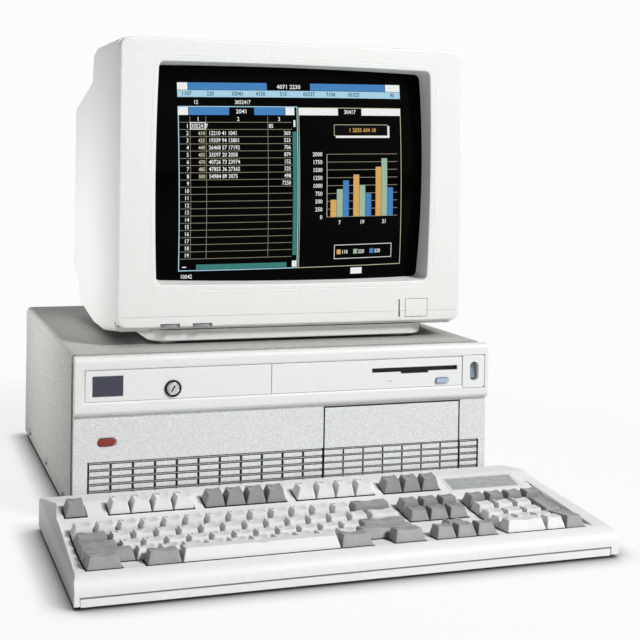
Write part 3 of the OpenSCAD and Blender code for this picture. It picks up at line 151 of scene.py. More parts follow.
def shades(tree, colour, pattern, darkest, lightest, width):
    """A colour that runs from its darkest to its lightest shade over the middle width of a pattern."""
    ramp = new_node(tree, "ValToRGB")
    stops = ((0.5 - width / 2, darkest), (0.5 + width / 2, lightest))
    for element, (place, shade) in zip(ramp.color_ramp.elements, stops):
        element.position = place
        element.color = [min(1, c * shade) for c in colour] + [1]
    tree.links.new(pattern, ramp.inputs["Fac"])
    return ramp.outputs["Color"]


def mottled(tree, shader, colour, pattern, spread):
    """Base colour that wanders a little between a darker and a lighter tone."""
    base = shader.inputs["Base Color"]
    base.default_value = (*colour, 1)
    tree.links.new(shades(tree, colour, pattern, 1 - spread, 1 + spread, 0.4), base)


def bumpy(tree, shader, pattern, height, strength=0.5):
    """Raises a pattern by a height."""
    bump = new_node(tree, "Bump", {"Distance": height, "Strength": strength})
    tree.links.new(pattern, bump.inputs["Height"])
    tree.links.new(bump.outputs["Normal"], shader.inputs["Normal"])


def uneven_gloss(tree, shader, pattern, glossiest, dullest):
    """Roughness that wanders between two values."""
    gloss = new_node(tree, "MapRange", {"To Min": glossiest, "To Max": dullest})
    tree.links.new(pattern, gloss.inputs["Value"])
    tree.links.new(gloss.outputs["Result"], shader.inputs["Roughness"])


def moulded_plastic(name, colour, roughness=0.5, spread=0.02, height=0.00006):
    """Finely textured moulding: spark-eroded grain, a faint mottle and uneven gloss."""
    material, tree, shader = new_finish(name)
    mottled(tree, shader, colour, object_grain(tree, 260, 4.0), spread)
    bumpy(tree, shader, object_grain(tree, 1500, 2.0), height)
    uneven_gloss(tree, shader, object_grain(tree, 40), roughness - 0.06, roughness + 0.08)
    set_sockets(shader, {"Specular IOR Level": 0.35})
    return material


def one_grain(name, colour, grain, spread, height, strength, roughness, specular=0.5, metallic=0.0):
    """A finish whose mottle and bumps share one grain, given as object_grain's values."""
    material, tree, shader = new_finish(name)
    pattern = object_grain(tree, *grain)
    mottled(tree, shader, colour, pattern, spread)
    bumpy(tree, shader, pattern, height, strength)
    set_sockets(shader, {"Roughness": roughness, "Specular IOR Level": specular, "Metallic": metallic})
    return material


def crinkle_enamel(name, colour):
    """Baked enamel with a speckled crinkle, as on a steel cover."""
    return one_grain(name, colour, (520, 4.0), spread=0.24, height=0.00025, strength=0.7, roughness=0.6,
                     specular=0.3)


def speckled_enamel(name, colour):
    """Plastic sprayed with a finely speckled enamel."""
    return one_grain(name, colour, (700, 4.0), spread=0.16, height=0.00012, strength=0.5, roughness=0.5,
                     specular=0.35)


def plated_steel(name, colour, roughness=0.32, spread=0.06, stretch=(1, 12, 1)):
    """Rolled and plated sheet: metal with faint streaks along its length."""
    return one_grain(name, colour, (120, 4.0, stretch), spread, height=0.00003, strength=0.3,
                     roughness=roughness, metallic=1.0)


def vulcanised_rubber(name, colour):
    """Dull rubber with a soft grain."""
    return one_grain(name, colour, (700, 3.0), spread=0.12, height=0.00008, strength=0.6, roughness=0.85,
                     specular=0.2)


def board_laminate(name, colour):
    """Lacquered circuit board: a woven ground with finer tracks."""
    return one_grain(name, colour, (300, 1.0, (1, 6, 1)), spread=0.25, height=0.00004, strength=0.4,
                     roughness=0.35)


def dark_glass(name):
    """Tinted face of the tube, seen dark, with a clean reflection and a trace of dust."""
    material, tree, shader = new_finish(name)
    dust = object_grain(tree, 25, 4.0)
    mottled(tree, shader, (0.0014, 0.0014, 0.0013), dust, 0.2)
    uneven_gloss(tree, shader, dust, 0.05, 0.11)
    set_sockets(shader, {"Specular IOR Level": 0.02})
    return material


def phosphor(name, colour):
    """Lit dots of the picture: coloured light broken up by a fine dot mask."""
    material, tree, shader = new_finish(name)
    glow = shades(tree, colour, object_grain(tree, 1100, 1.0), 0.86, 1.06, 0.3)
    set_sockets(shader, {"Base Color": (*PICTURE["dark"], 1), "Roughness": 0.4, "Specular IOR Level": 0.02,
                         "Emission Color": (*colour, 1), "Emission Strength": 1.0})
    tree.links.new(glow, shader.inputs["Emission Color"])
    return material


def grimed(material, reach):
    """Paints shade into a finish's colour in gaps and corners, darker where other faces stand close."""
    tree = material.node_tree
    base = tree.nodes["Principled BSDF"].inputs["Base Color"]
    occlusion_shade = new_node(tree, "AmbientOcclusion", {"Distance": reach}, samples=8)
    # The mix node's first input is its amount, inputs 6 and 7 its colours, and output 2 the mixed colour
    shaded_colour = new_node(tree, "Mix", {0: 0.6}, data_type="RGBA", blend_type="MULTIPLY")
    tree.links.new(base.links[0].from_socket, shaded_colour.inputs[6])
    tree.links.new(occlusion_shade.outputs["Color"], shaded_colour.inputs[7])
    tree.links.new(shaded_colour.outputs[2], base)
    return material


# Colours of the lit picture
PICTURE = {
    "blue": (0.062, 0.230, 0.52),
    "cyan": (0.40, 0.66, 0.80),
    "white": (0.86, 0.89, 0.88),
    "ivory": (0.62, 0.60, 0.42),
    "teal": (0.045, 0.215, 0.190),
    "orange": (0.70, 0.39, 0.115),
    "sage": (0.34, 0.50, 0.36),
    "ink": (0.015, 0.07, 0.16),
    "grid": (0.33, 0.31, 0.22),
    "dark": (0.0015, 0.0015, 0.0015),
}
# How far the painted shade in gaps and corners reaches, in metres, on the keys and the cover
PAINTED_SHADE_REACH = {"light_key": 0.005, "dark_key": 0.006, "cover": 0.022}
SMOOTH = 0.00002  # height of the grain on a smooth moulding or film
FINISHES = {}  # those already made, by name


def recipes(tones):
    """Each finish's maker and values; a moulding's are its colour, roughness, mottle and height of grain."""
    # Painted shade: half shade for the set-back slats and the keyboard's seam, near-black shade for slots,
    # joints and the cover's strip by the front
    slat = tuple(0.5 * c for c in tones.lower_front)
    shade = tuple(0.04 * c for c in tones.lower_front)
    made = {
        "cabinet": (moulded_plastic, "cabinet_plastic", tones.cabinet),
        "front": (moulded_plastic, "front_plastic", tones.front),
        "fascia": (moulded_plastic, "fascia_plastic", tones.fascia, 0.5, 0.015),
        "lower_front": (speckled_enamel, "lower_front_enamel", tones.lower_front),
        "keyboard": (moulded_plastic, "keyboard_plastic", tones.keyboard),
        "light_key": (moulded_plastic, "light_key_plastic", tones.light_key, 0.55),
        "dark_key": (moulded_plastic, "dark_key_plastic", tones.dark_key, 0.42, 0.04),
        "slat": (moulded_plastic, "slat_plastic", slat, 0.5, 0.05),
        "shade": (moulded_plastic, "slot_plastic", shade, 0.7, 0.05),
        "cover": (crinkle_enamel, "cover_enamel", tones.cover),
        "steel": (plated_steel, "zinc_sheet", (0.62, 0.63, 0.64)),
        "drive_metal": (plated_steel, "drive_casting", (0.50, 0.51, 0.52), 0.4),
        "lock_metal": (plated_steel, "lock_plating", (0.80, 0.80, 0.80), 0.18, 0.03),
        # Near-black plating of the lock's polished ring: painted dark reflection
        "lock_ring": (plated_steel, "lock_ring_plating", (0.025, 0.025, 0.028), 0.3, 0.05),
        "black": (moulded_plastic, "black_plastic", (0.016, 0.016, 0.017), 0.5, 0.1),
        "dark": (moulded_plastic, "dark_moulding", (0.045, 0.045, 0.05), 0.5, 0.1),
        "badge": (moulded_plastic, "badge_film", tones.badge, 0.35, 0.03, SMOOTH),
        "label": (moulded_plastic, "label_film", tones.label, 0.4, 0.18, SMOOTH),
        "line": (moulded_plastic, "pale_line", (0.86, 0.86, 0.86), 0.4),
        "legend": (moulded_plastic, "legend_ink", (0.10, 0.10, 0.11), 0.5, 0.05),
        "red": (moulded_plastic, "reset_red", tones.reset, 0.3, 0.06, SMOOTH),
        "rocker": (moulded_plastic, "rocker_moulding", tones.rocker, 0.3, 0.05, SMOOTH),
        "blue": (moulded_plastic, "eject_blue", tones.eject, 0.35, 0.03, SMOOTH),
        "blue_line": (moulded_plastic, "eject_edge", (0.16, 0.26, 0.46), 0.35, 0.03),
        "green_lens": (moulded_plastic, "lamp_lens", (0.03, 0.10, 0.05), 0.2, 0.1, SMOOTH / 2),
        "wheel": (moulded_plastic, "wheel_plastic", (0.36, 0.36, 0.36), 0.5, 0.05),
        "rubber": (vulcanised_rubber, "foot_rubber", (0.05, 0.05, 0.05)),
        "pale_rubber": (vulcanised_rubber, "pad_rubber", (0.36, 0.36, 0.36)),
        "board": (board_laminate, "board_lacquer", (0.03, 0.12, 0.05)),
        "brown_board": (board_laminate, "brown_board", (0.28, 0.18, 0.07)),
        "copper": (plated_steel, "enamelled_copper", (0.50, 0.20, 0.08), 0.35, 0.15, (1, 1, 8)),
        "glass": (dark_glass, "tube_glass"),
    }
    for name, colour in PICTURE.items():
        made["picture_" + name] = (phosphor, "picture_" + name, colour)
    return made


def finish(name):
    """The named finish, made once from the sidebar's colours."""
    if name not in FINISHES:
        maker, *values = recipes(bpy.context.scene.computer_tones)[name]
        FINISHES[name] = maker(*values)
        # Keys and the cover get painted shade in their gaps and corners
        if name in PAINTED_SHADE_REACH:
            grimed(FINISHES[name], PAINTED_SHADE_REACH[name])
    return FINISHES[name]


# ---------------------------------------------------------------- making pieces

WELD = 0.0015  # distance within which a copied node's vertices become one
FLAT = math.radians(0.4)  # angle under which its neighbouring faces become one
OUTER_EDGE = math.radians(50)  # edges sharper than this are rounded


def placed(name, data):
    """Puts new data into the scene as an object."""
    thing = bpy.data.objects.new(name, data)
    bpy.context.scene.collection.objects.link(thing)
    return thing


def make_piece(bm, name, body, finishes, stands_for=(), even=True, sharp=38):
    """Turns a finished bmesh into a piece that rides on its body, with the named finishes."""
    bmesh.ops.scale(bm, vec=(MM, MM, MM), verts=bm.verts)
    mesh = bpy.data.meshes.new(name)
    bm.to_mesh(mesh)
    bm.free()
    mesh.polygons.foreach_set("use_smooth", [True] * len(mesh.polygons))
    mesh.set_sharp_from_angle(angle=math.radians(sharp))
    piece = placed(name, mesh)
    for each in finishes:
        mesh.materials.append(finish(each))
    if even:
        shading = piece.modifiers.new("even_shading", "WEIGHTED_NORMAL")
        shading.keep_sharp = True
    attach(piece, body)
    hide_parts(*stands_for)
    return piece


def face_outwards(bm):
    """Turns every face of a closed shape outwards."""
    bmesh.ops.recalc_face_normals(bm, faces=bm.faces)
    if bm.calc_volume(signed=True) < 0:
        bmesh.ops.reverse_faces(bm, faces=bm.faces)


def block(bm, low, high):
    """A box from its lowest to its highest corner; returns its vertices."""
    low, high = Vector(low), Vector(high)
    size = high - low
    place = Matrix.Translation((low + high) / 2) @ Matrix.Diagonal((size.x, size.y, size.z, 1))
    return bmesh.ops.create_cube(bm, size=1, matrix=place)["verts"]


def edges_of(verts):
    """The edges that meet some vertices."""
    return list({e for v in verts for e in v.link_edges})


def faces_of(verts):
    """The faces round some vertices."""
    return list({f for v in verts for f in v.link_faces})


def verts_of(edges):
    """The vertices of some edges."""
    return list({v for e in edges for v in e.verts})


def verts_in(geom):
    """The vertices among an operator's results."""
    return [v for v in geom if isinstance(v, bmesh.types.BMVert)]


def edges_in(geom):
    """The edges among an operator's results."""
    return [e for e in geom if isinstance(e, bmesh.types.BMEdge)]


def rounded(bm, geom, radius, segments=2, affect="EDGES", clamp=True):
    """Rounds some edges, or the corners at some vertices."""
    bmesh.ops.bevel(bm, geom=geom, offset=radius, offset_type="OFFSET", segments=segments, profile=0.5,
                    affect=affect, clamp_overlap=clamp, material=-1)


def copied(node):
    """A node's merged solids as one bmesh, with their flat faces whole."""
    bm = bmesh.new()
    bm.from_mesh(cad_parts[node].data)
    bmesh.ops.scale(bm, vec=(1 / MM, 1 / MM, 1 / MM), verts=bm.verts)
    bmesh.ops.remove_doubles(bm, verts=bm.verts, dist=WELD)
    bmesh.ops.dissolve_limit(bm, angle_limit=FLAT, verts=bm.verts, edges=bm.edges,
                             use_dissolve_boundaries=False, delimit=set())
    return bm


def ease_edges(bm, radius):
    """Rounds the sharp outer edges that have room for it."""
    room = 2.3 * radius
    short = {v for e in bm.edges if e.calc_length() < room for v in e.verts}
    chosen = [e for e in bm.edges if e.is_manifold and e.calc_face_angle_signed(0) > OUTER_EDGE
              and not (e.verts[0] in short or e.verts[1] in short)]
    if chosen:
        rounded(bm, chosen, radius, clamp=False)
    return bm


def softened(name, node, body, material, radius):
    """A node's own shape with its outer edges rounded as a moulding's are."""
    return make_piece(ease_edges(copied(node), radius), name, body, [material], [node])


def merged(name, node, body, material):
    """A node's own shape with its round surfaces shaded smooth."""
    return make_piece(copied(node), name, body, [material], [node])


def dress(finish_name, *nodes):
    """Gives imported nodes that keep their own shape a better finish."""
    for node in nodes:
        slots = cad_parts[node].data.materials
        slots.clear()
        slots.append(finish(finish_name))


def rounded_loop(bm, places, radius, segments, capped=False):
    """A closed outline with rounded corners at four places, open unless capped; returns its edges."""
    before = set(bm.edges)
    verts = [bm.verts.new(place) for place in places]
    bm.faces.new(verts)
    rounded(bm, verts, radius, segments, "VERTICES")
    loop = [e for e in bm.edges if e not in before]
    if not capped:
        bmesh.ops.delete(bm, geom=list({f for e in loop for f in e.link_faces}), context="FACES_ONLY")
    return loop


def loft(bm, loops):
    """Skins a row of matching closed loops, spread far apart meanwhile so that none of them twists."""
    homes = {}
    for i, loop in enumerate(loops):
        for v in verts_of(loop):
            if v not in homes:
                homes[v] = v.co.copy()
                v.co.y += i * 1000
    for a, b in zip(loops, loops[1:]):
        bmesh.ops.bridge_loops(bm, edges=list(a) + list(b))
    for v, home in homes.items():
        v.co = home


def stacked(bm, outlines):
    """Skins a stack of rounded outlines, given as (places, radius), and closes both ends."""
    loops = []
    for i, (places, radius) in enumerate(outlines):
        loops.append(rounded_loop(bm, places, radius, 8, capped=i in (0, len(outlines) - 1)))
    loft(bm, loops)
    face_outwards(bm)


def oblong(bm, x, z, width, height, levels):
    """A solid oblong with round ends; levels are (inset, y) from back to front."""
    outlines = []
    for inset, y in levels:
        w, h = width / 2 - inset, height / 2 - inset
        places = [(x + sx * w, y, z + sz * h) for sx, sz in ((-1, -1), (1, -1), (1, 1), (-1, 1))]
        outlines.append((places, min(w, h) * 0.999))
    stacked(bm, outlines)


def turned(bm, centre, profile, steps=48):
    """Turns a profile of (distance from the axis, y) round the line through centre from front to back."""
    centre = Vector(centre)
    verts = [bm.verts.new(centre + Vector((0, y, radius))) for radius, y in profile]
    edges = [bm.edges.new(pair) for pair in zip(verts, verts[1:])]
    bmesh.ops.spin(bm, geom=verts + edges, cent=centre, axis=(0, 1, 0), dvec=(0, 0, 0), angle=math.tau,
                   steps=steps, use_merge=True, use_duplicate=False)
    bmesh.ops.remove_doubles(bm, verts=bm.verts, dist=0.0005)
    face_outwards(bm)


def final_mesh(thing):
    """An object's mesh with its modifiers applied, or its lettering filled."""
    bpy.context.view_layer.update()
    return bpy.data.meshes.new_from_object(thing.evaluated_get(bpy.context.evaluated_depsgraph_get()))


def carve(bm, cutters, operation="DIFFERENCE"):
    """Cuts one bmesh with another, frees both and returns the result."""
    holders = []
    for part in (bm, cutters):
        mesh = bpy.data.meshes.new("carving")
        part.to_mesh(mesh)
        part.free()
        holders.append(placed("carving", mesh))
    cut = holders[0].modifiers.new("cut", "BOOLEAN")
    cut.object = holders[1]
    cut.operation = operation
    cut.solver = "EXACT"
    cut.use_self = True
    result = final_mesh(holders[0])
    made = bmesh.new()
    made.from_mesh(result)
    # Removing a mesh takes its object with it
    for mesh in [holder.data for holder in holders] + [result]:
        bpy.data.meshes.remove(mesh)
    return made


def numerals(bm, text, x, y, size, place=Matrix.Identity(4), index=0, align="LEFT", width=1.0, bold=0.0):
    """Lays flat lettering in the XY plane, moved by place, into a bmesh."""
    curve = bpy.data.curves.new("numerals", "FONT")
    curve.body = text
    curve.size = size
    curve.offset = bold * size
    curve.align_x = align
    curve.resolution_u = 2
    mesh = final_mesh(placed("numerals", curve))
    mesh.transform(place @ Matrix.Translation((x, y, 0)) @ Matrix.Diagonal((width, 1, 1, 1)))
    start = len(bm.faces)
    bm.from_mesh(mesh)
    bm.faces.ensure_lookup_table()
    for face in bm.faces[start:]:
        face.material_index = index
    bpy.data.curves.remove(curve)
    bpy.data.meshes.remove(mesh)


# ---------------------------------------------------------------- settings

def tone(name, about, default):
    """A colour setting of the sidebar."""
    return FloatVectorProperty(name=name, description=about, subtype="COLOR", default=default, size=3,
                               min=0, max=1)


def power(name, about, default):
    """A lamp's power in the sidebar, in watts."""
    return FloatProperty(name=name, description=about, default=default, min=0, unit="POWER")


class ComputerTones(bpy.types.PropertyGroup):
    """Colours of the mouldings, enamel and keys."""

    cabinet: tone("Monitor", "Monitor cabinet plastic", (0.832, 0.847, 0.823))
    front: tone("Front band", "System unit's moulded front", (0.845, 0.86, 0.84))
    fascia: tone("Fascia", "Plates in the recessed strip", (0.855, 0.87, 0.85))
    lower_front: tone("Lower front", "Lower panel and its bay cover", (0.745, 0.762, 0.752))
    cover: tone("Cover", "Crinkle enamel of the steel cover", (0.505, 0.51, 0.485))
    keyboard: tone("Keyboard", "Keyboard case plastic", (0.885, 0.895, 0.883))
    light_key: tone("Light keys", "Plastic of the letter and digit keys", (0.84, 0.855, 0.84))
    dark_key: tone("Dark keys", "Plastic of the control keys", (0.325, 0.33, 0.33))
    badge: tone("Badge", "Bare badge plate", (0.058, 0.058, 0.088))
    label: tone("Label", "Bare label plate on the keyboard", (0.39, 0.40, 0.405))
    reset: tone("Reset button", "Reset button", (0.25, 0.040, 0.026))
    rocker: tone("Rocker", "Power rocker", (0.22, 0.28, 0.31))
    eject: tone("Eject button", "Diskette eject button", (0.44, 0.54, 0.65))


class ComputerForms(bpy.types.PropertyGroup):
    """Roundings and key shapes, in millimetres."""

    case_edge: FloatProperty(name="Case edge", description="Rounding of the system unit's front",
                             default=0.7, min=0.1, max=2)
    cabinet_edge: FloatProperty(name="Cabinet edge", description="Rounding of the monitor shell",
                                default=7, min=2, max=9)
    cap_height: FloatProperty(name="Cap height", description="Height of a key cap",
                              default=10.5, min=8, max=14)
    cap_dish: FloatProperty(name="Cap dish", description="Depth of the hollow in a key's top",
                            default=1.0, min=0, max=1.5)
    cap_steps: IntProperty(name="Cap steps", description="Strips across a key's hollow top",
                           default=6, min=2, max=12)


class ComputerStage(bpy.types.PropertyGroup):
    """Light and camera of the stage."""

    key_light: power("Key light", "Power of the lamp at the front right", 181)
    fill_light: power("Fill light", "Power of the flagged lamp at the front left", 37)
    side_light: power("Side light", "Power of the flagged lamp at the left", 188)
    ambient: FloatProperty(name="Ambient", description="Light from all round", default=0.09, min=0, max=2)
    floor_lift: FloatProperty(name="Floor lift", description="How far the floor looks lifted to white",
                              default=0.84, min=0, max=1)
    lens: FloatProperty(name="Lens", description="Focal length", default=72.0, min=20, max=200, unit="CAMERA")


# ---------------------------------------------------------------- monitor

OPENING_HALF_WIDTH, OPENING_HALF_HEIGHT = 146, 111  # of the front frame's opening round the screen
CORNER_STEPS = 6  # segments round each corner of the front frame
SIDE_CUTS = 9  # cuts along each of its sides, for the bow of the opening
# Section of the front frame's wall and of its back, as (inset, depth behind the face, corner radius)
FRAME_WALL = ((2.6, 12, 8), (0, 12, 10), (0, 3, 10), (0.3, 1.3, 9.9), (1.1, 0.35, 9.5), (2.5, 0, 9))
FRAME_BACK = ((7, 2.8, 6), (2.6, 5, 8))
# Its groove and rounded lip round the opening, as (growth of the opening, depth, corner radius)
FRAME_LIP = ((6.1, 0, 7), (5.8, 0.25, 7), (5.3, 0.25, 7), (5.0, 0, 7), (1.4, 0, 6), (0.4, 0.5, 6),
             (0, 1.6, 6))

# The cabinet and its hollow seen from the side, as (y, z) from the foot of the front round to its top
SHELL_SIDE = [(-25.3, 170), (58.5, 160.5), (116.5, 160.5), (214.5, 172), (226.5, 202), (262.5, 204),
              (262.5, 402), (137.5, 430), (133.5, 458), (112.5, 463), (-25.3, 463)]
SHELL_FRONT = SHELL_SIDE[0][0]
HOLLOW_SIDE = [(SHELL_FRONT - 1, 175), (58, 164), (116, 164), (208, 176), (218, 206), (259, 208), (259, 398),
               (133, 426), (129, 454), (110, 459.5), (SHELL_FRONT - 1, 459.5)]
SHELL_WALL = 3
# Half width, back, foot, top and rounding of the box round the tube's neck
HOUSING_HALF, HOUSING_BACK, HOUSING_FOOT, HOUSING_TOP, HOUSING_ROUNDING = 95, 306.5, 234, 388, 6
# Air slots in the cabinet's top, in two rows, and across the back of the neck's housing
VENT_PITCH, VENT_WIDTH, VENT_LENGTH = 16, 10, 32
VENT_FRONT, VENT_ROW_PITCH = 22.5, 42
VENT_CUT = (455, 470)  # heights between which their cutters go through the top
LOUVRES, LOUVRE_FOOT, LOUVRE_PITCH, LOUVRE_HEIGHT, LOUVRE_HALF = 8, 254, 14, 5, 70
LOUVRE_CUT = (300, 312)  # depths between which their cutters go through the back
FLOOR_OPENING_HALF = 151  # half the width of the opening in the cabinet's underside, over the plinth
BOW_X, BOW_Z = 5.5, 3  # greatest bow of the screen opening's sides
FIT = 0.5  # gap round the power button


def outline(bm, x0, x1, z0, z1, y, radius):
    """A closed outline with rounded corners that faces the front; returns its edges."""
    before = set(bm.edges)
    loop = rounded_loop(bm, ((x0, y, z0), (x1, y, z0), (x1, y, z1), (x0, y, z1)), radius, CORNER_STEPS)
    sides = sorted(loop, key=lambda e: -e.calc_length())[:4]
    bmesh.ops.subdivide_edges(bm, edges=sides, cuts=SIDE_CUTS)
    return [e for e in bm.edges if e not in before]


def barrel(verts, bow, behind_glass=None):
    """Bows an outline round the screen outwards at the middle of its sides, by a share of the greatest bow.

    behind_glass lays it that far behind the glass's face, or before it where negative.
    """
    for v in verts:
        u = (v.co.x - SCREEN_X) / OPENING_HALF_WIDTH
        w = (v.co.z - SCREEN_Z) / OPENING_HALF_HEIGHT
        v.co.x += BOW_X * bow * u * (1 - w * w)
        v.co.z += BOW_Z * bow * w * (1 - u * u)
        if behind_glass is not None:
            v.co.y = glass_y(v.co.x, v.co.z) + behind_glass


def control_openings():
    """Cutters for the openings of the front frame's button, lamp and wheels."""
    face, foot = BEZEL_LOW.y, BEZEL_LOW.z
    cutters = bmesh.new()
    button_low, button_high = corners("monitor_button")
    middle = (button_high.x + button_low.x) / 2
    # The button's flange, 2 mm wider on each side, stays behind the frame
    half = (button_high.x - button_low.x) / 2 - 2
    block(cutters, (middle - half - FIT, face - 2, button_low.z - FIT),
          (middle + half + FIT, face + 6, button_high.z + FIT))
    lamp_low, lamp_high = corners("monitor_lamp")
    block(cutters, (lamp_low.x - 0.2, face - 2, button_low.z), (lamp_high.x + 0.2, face + 6, button_high.z))
    for wheel in ("brightness_wheel", "contrast_wheel"):
        x, top = front_middle(wheel)[0], corners(wheel)[0].z + 3.5
        block(cutters, (x - 10, face - 2, foot - 1), (x + 10, face + 4, top))
        block(cutters, (x - 14.5, face + 3, foot - 1), (x + 14.5, face + 30, top))
    return cutters


class COMPUTER_OT_monitor_front(bpy.types.Operator):
    """Builds the monitor's front frame with its bead, recess, button and wheel openings"""

    bl_idname = "computer.monitor_front"
    bl_label = "Monitor front"

    def execute(self, context):
        x0, x1, z0, z1, face = BEZEL_LOW.x, BEZEL_HIGH.x, BEZEL_LOW.z, BEZEL_HIGH.z, BEZEL_LOW.y
        bm = bmesh.new()
        loops = []

        def ring(inset, depth, radius):
            loops.append(outline(bm, x0 + inset, x1 - inset, z0 + inset, z1 - inset, face + depth, radius))

        def opening(grow, depth, radius, bow=0.4, behind_glass=None):
            w, h = OPENING_HALF_WIDTH + grow, OPENING_HALF_HEIGHT + grow
            loop = outline(bm, SCREEN_X - w, SCREEN_X + w, SCREEN_Z - h, SCREEN_Z + h, face + depth, radius)
            barrel(verts_of(loop), bow, behind_glass)
            loops.append(loop)

        for section in FRAME_WALL:
            ring(*section)
        for section in FRAME_LIP:
            opening(*section)
        # A sloping reveal runs in to just before the glass and turns back along it
        opening(-2.2, 0, 6, 0.45, behind_glass=-0.2)
        opening(2.4, 0, 6, 0.45, behind_glass=-0.1)
        opening(2.6, 2.8, 6)
        for section in FRAME_BACK:
            ring(*section)
        loft(bm, loops + [loops[0]])
        face_outwards(bm)
        bm = carve(bm, control_openings())
        make_piece(bm, "monitor_front", COMPUTER, ["cabinet"], ["monitor_bezel"])

        seam = bmesh.new()
        block(seam, (x0 + 4.4, face - 0.03, z0 + 11.2), (x1 - 4.4, face + 0.2, z0 + 11.5))
        make_piece(seam, "chin_seam", COMPUTER, ["wheel"])
        return {"FINISHED"}


class COMPUTER_OT_monitor_controls(bpy.types.Operator):
    """Builds the monitor's power button, lamp and control wheels"""

    bl_idname = "computer.monitor_controls"
    bl_label = "Monitor controls"

    def execute(self, context):
        softened("monitor_power_button", "monitor_button", "monitor_power", "cabinet", 0.5)
        merged("monitor_lamp_lens", "monitor_lamp", COMPUTER, "green_lens")
        merged("brightness_control", "brightness_wheel", "brightness", "wheel")
        merged("contrast_control", "contrast_wheel", "contrast", "wheel")
        return {"FINISHED"}


def prism(bm, side, left, right):
    """A solid between two x with the same side, given as (y, z), all along."""
    face = bm.faces.new([bm.verts.new((left, y, z)) for y, z in side])
    grown = bmesh.ops.extrude_face_region(bm, geom=[face])["geom"]
    bmesh.ops.translate(bm, vec=(right - left, 0, 0), verts=verts_in(grown))
    face_outwards(bm)


def cabinet_openings():
    """Cutters for the cabinet's air slots, its socket and the open part of its underside."""
    slots = bmesh.new()
    for i in range(-9, 10):
        for row in range(2):
            x, y = SCREEN_X + i * VENT_PITCH, VENT_FRONT + row * VENT_ROW_PITCH
            low, high = VENT_CUT
            block(slots, (x - VENT_WIDTH / 2, y, low), (x + VENT_WIDTH / 2, y + VENT_LENGTH, high))
    for i in range(LOUVRES):
        front, back = LOUVRE_CUT
        z = LOUVRE_FOOT + i * LOUVRE_PITCH
        block(slots, (SCREEN_X - LOUVRE_HALF, front, z), (SCREEN_X + LOUVRE_HALF, back, z + LOUVRE_HEIGHT))
    inlet = corners("monitor_inlet")[0]
    block(slots, (inlet.x, 250, inlet.z), (inlet.x + 28, 268, inlet.z + 22))
    half = FLOOR_OPENING_HALF
    block(slots, (SCREEN_X - half, SHELL_FRONT - 1, 150), (SCREEN_X + half, 220.5, 171.3))
    return slots


class COMPUTER_OT_monitor_cabinet(bpy.types.Operator):
    """Builds the monitor's rear shell with its steps, neck housing and air slots, and its plinth"""

    bl_idname = "computer.monitor_cabinet"
    bl_label = "Monitor cabinet"

    def execute(self, context):
        x0, x1 = BEZEL_LOW.x, BEZEL_HIGH.x
        shell = bmesh.new()
        prism(shell, SHELL_SIDE, x0, x1)
        behind_front = [e for e in shell.edges if not all(abs(v.co.y - SHELL_FRONT) < 0.1 for v in e.verts)]
        rounded(shell, behind_front, context.scene.computer_forms.cabinet_edge, 4)
        left, right = SCREEN_X - HOUSING_HALF, SCREEN_X + HOUSING_HALF
        housing = bmesh.new()
        verts = block(housing, (left, 240, HOUSING_FOOT), (right, HOUSING_BACK, HOUSING_TOP))
        rounded(housing, edges_of(verts), HOUSING_ROUNDING, 3)
        shell = carve(shell, housing, "UNION")
        wall = SHELL_WALL
        inside = bmesh.new()
        prism(inside, HOLLOW_SIDE, x0 + wall, x1 - wall)
        block(inside, (left + wall, 250, HOUSING_FOOT + wall),
              (right - wall, HOUSING_BACK - wall, HOUSING_TOP - wall))
        shell = carve(carve(shell, inside), cabinet_openings())
        make_piece(shell, "monitor_cabinet", COMPUTER, ["cabinet"], ["monitor_shell"])

        base = bmesh.new()
        low, high = corners("monitor_base")
        outlines = []
        for inset, z, radius in ((2.2, low.z, 18), (0.7, low.z + 0.7, 19.4), (0, low.z + 2.2, 20),
                                 (0, high.z - 0.6, 20)):
            left, right, front, back = low.x + inset, high.x - inset, low.y + inset, high.y - inset
            places = ((left, front, z), (right, front, z), (right, back, z), (left, back, z))
            outlines.append((places, radius))
        stacked(base, outlines)
        make_piece(base, "monitor_plinth", COMPUTER, ["cabinet"], ["monitor_base"])
        merged("monitor_plinth_feet", "monitor_feet", COMPUTER, "pale_rubber")
        merged("monitor_sockets", "monitor_inlet", COMPUTER, "black")
        return {"FINISHED"}


GLASS_DEPTH = 54  # from the middle of the glass's face to the end of its straight skirt
NECK_RADIUS, NECK_LENGTH = 15, 73


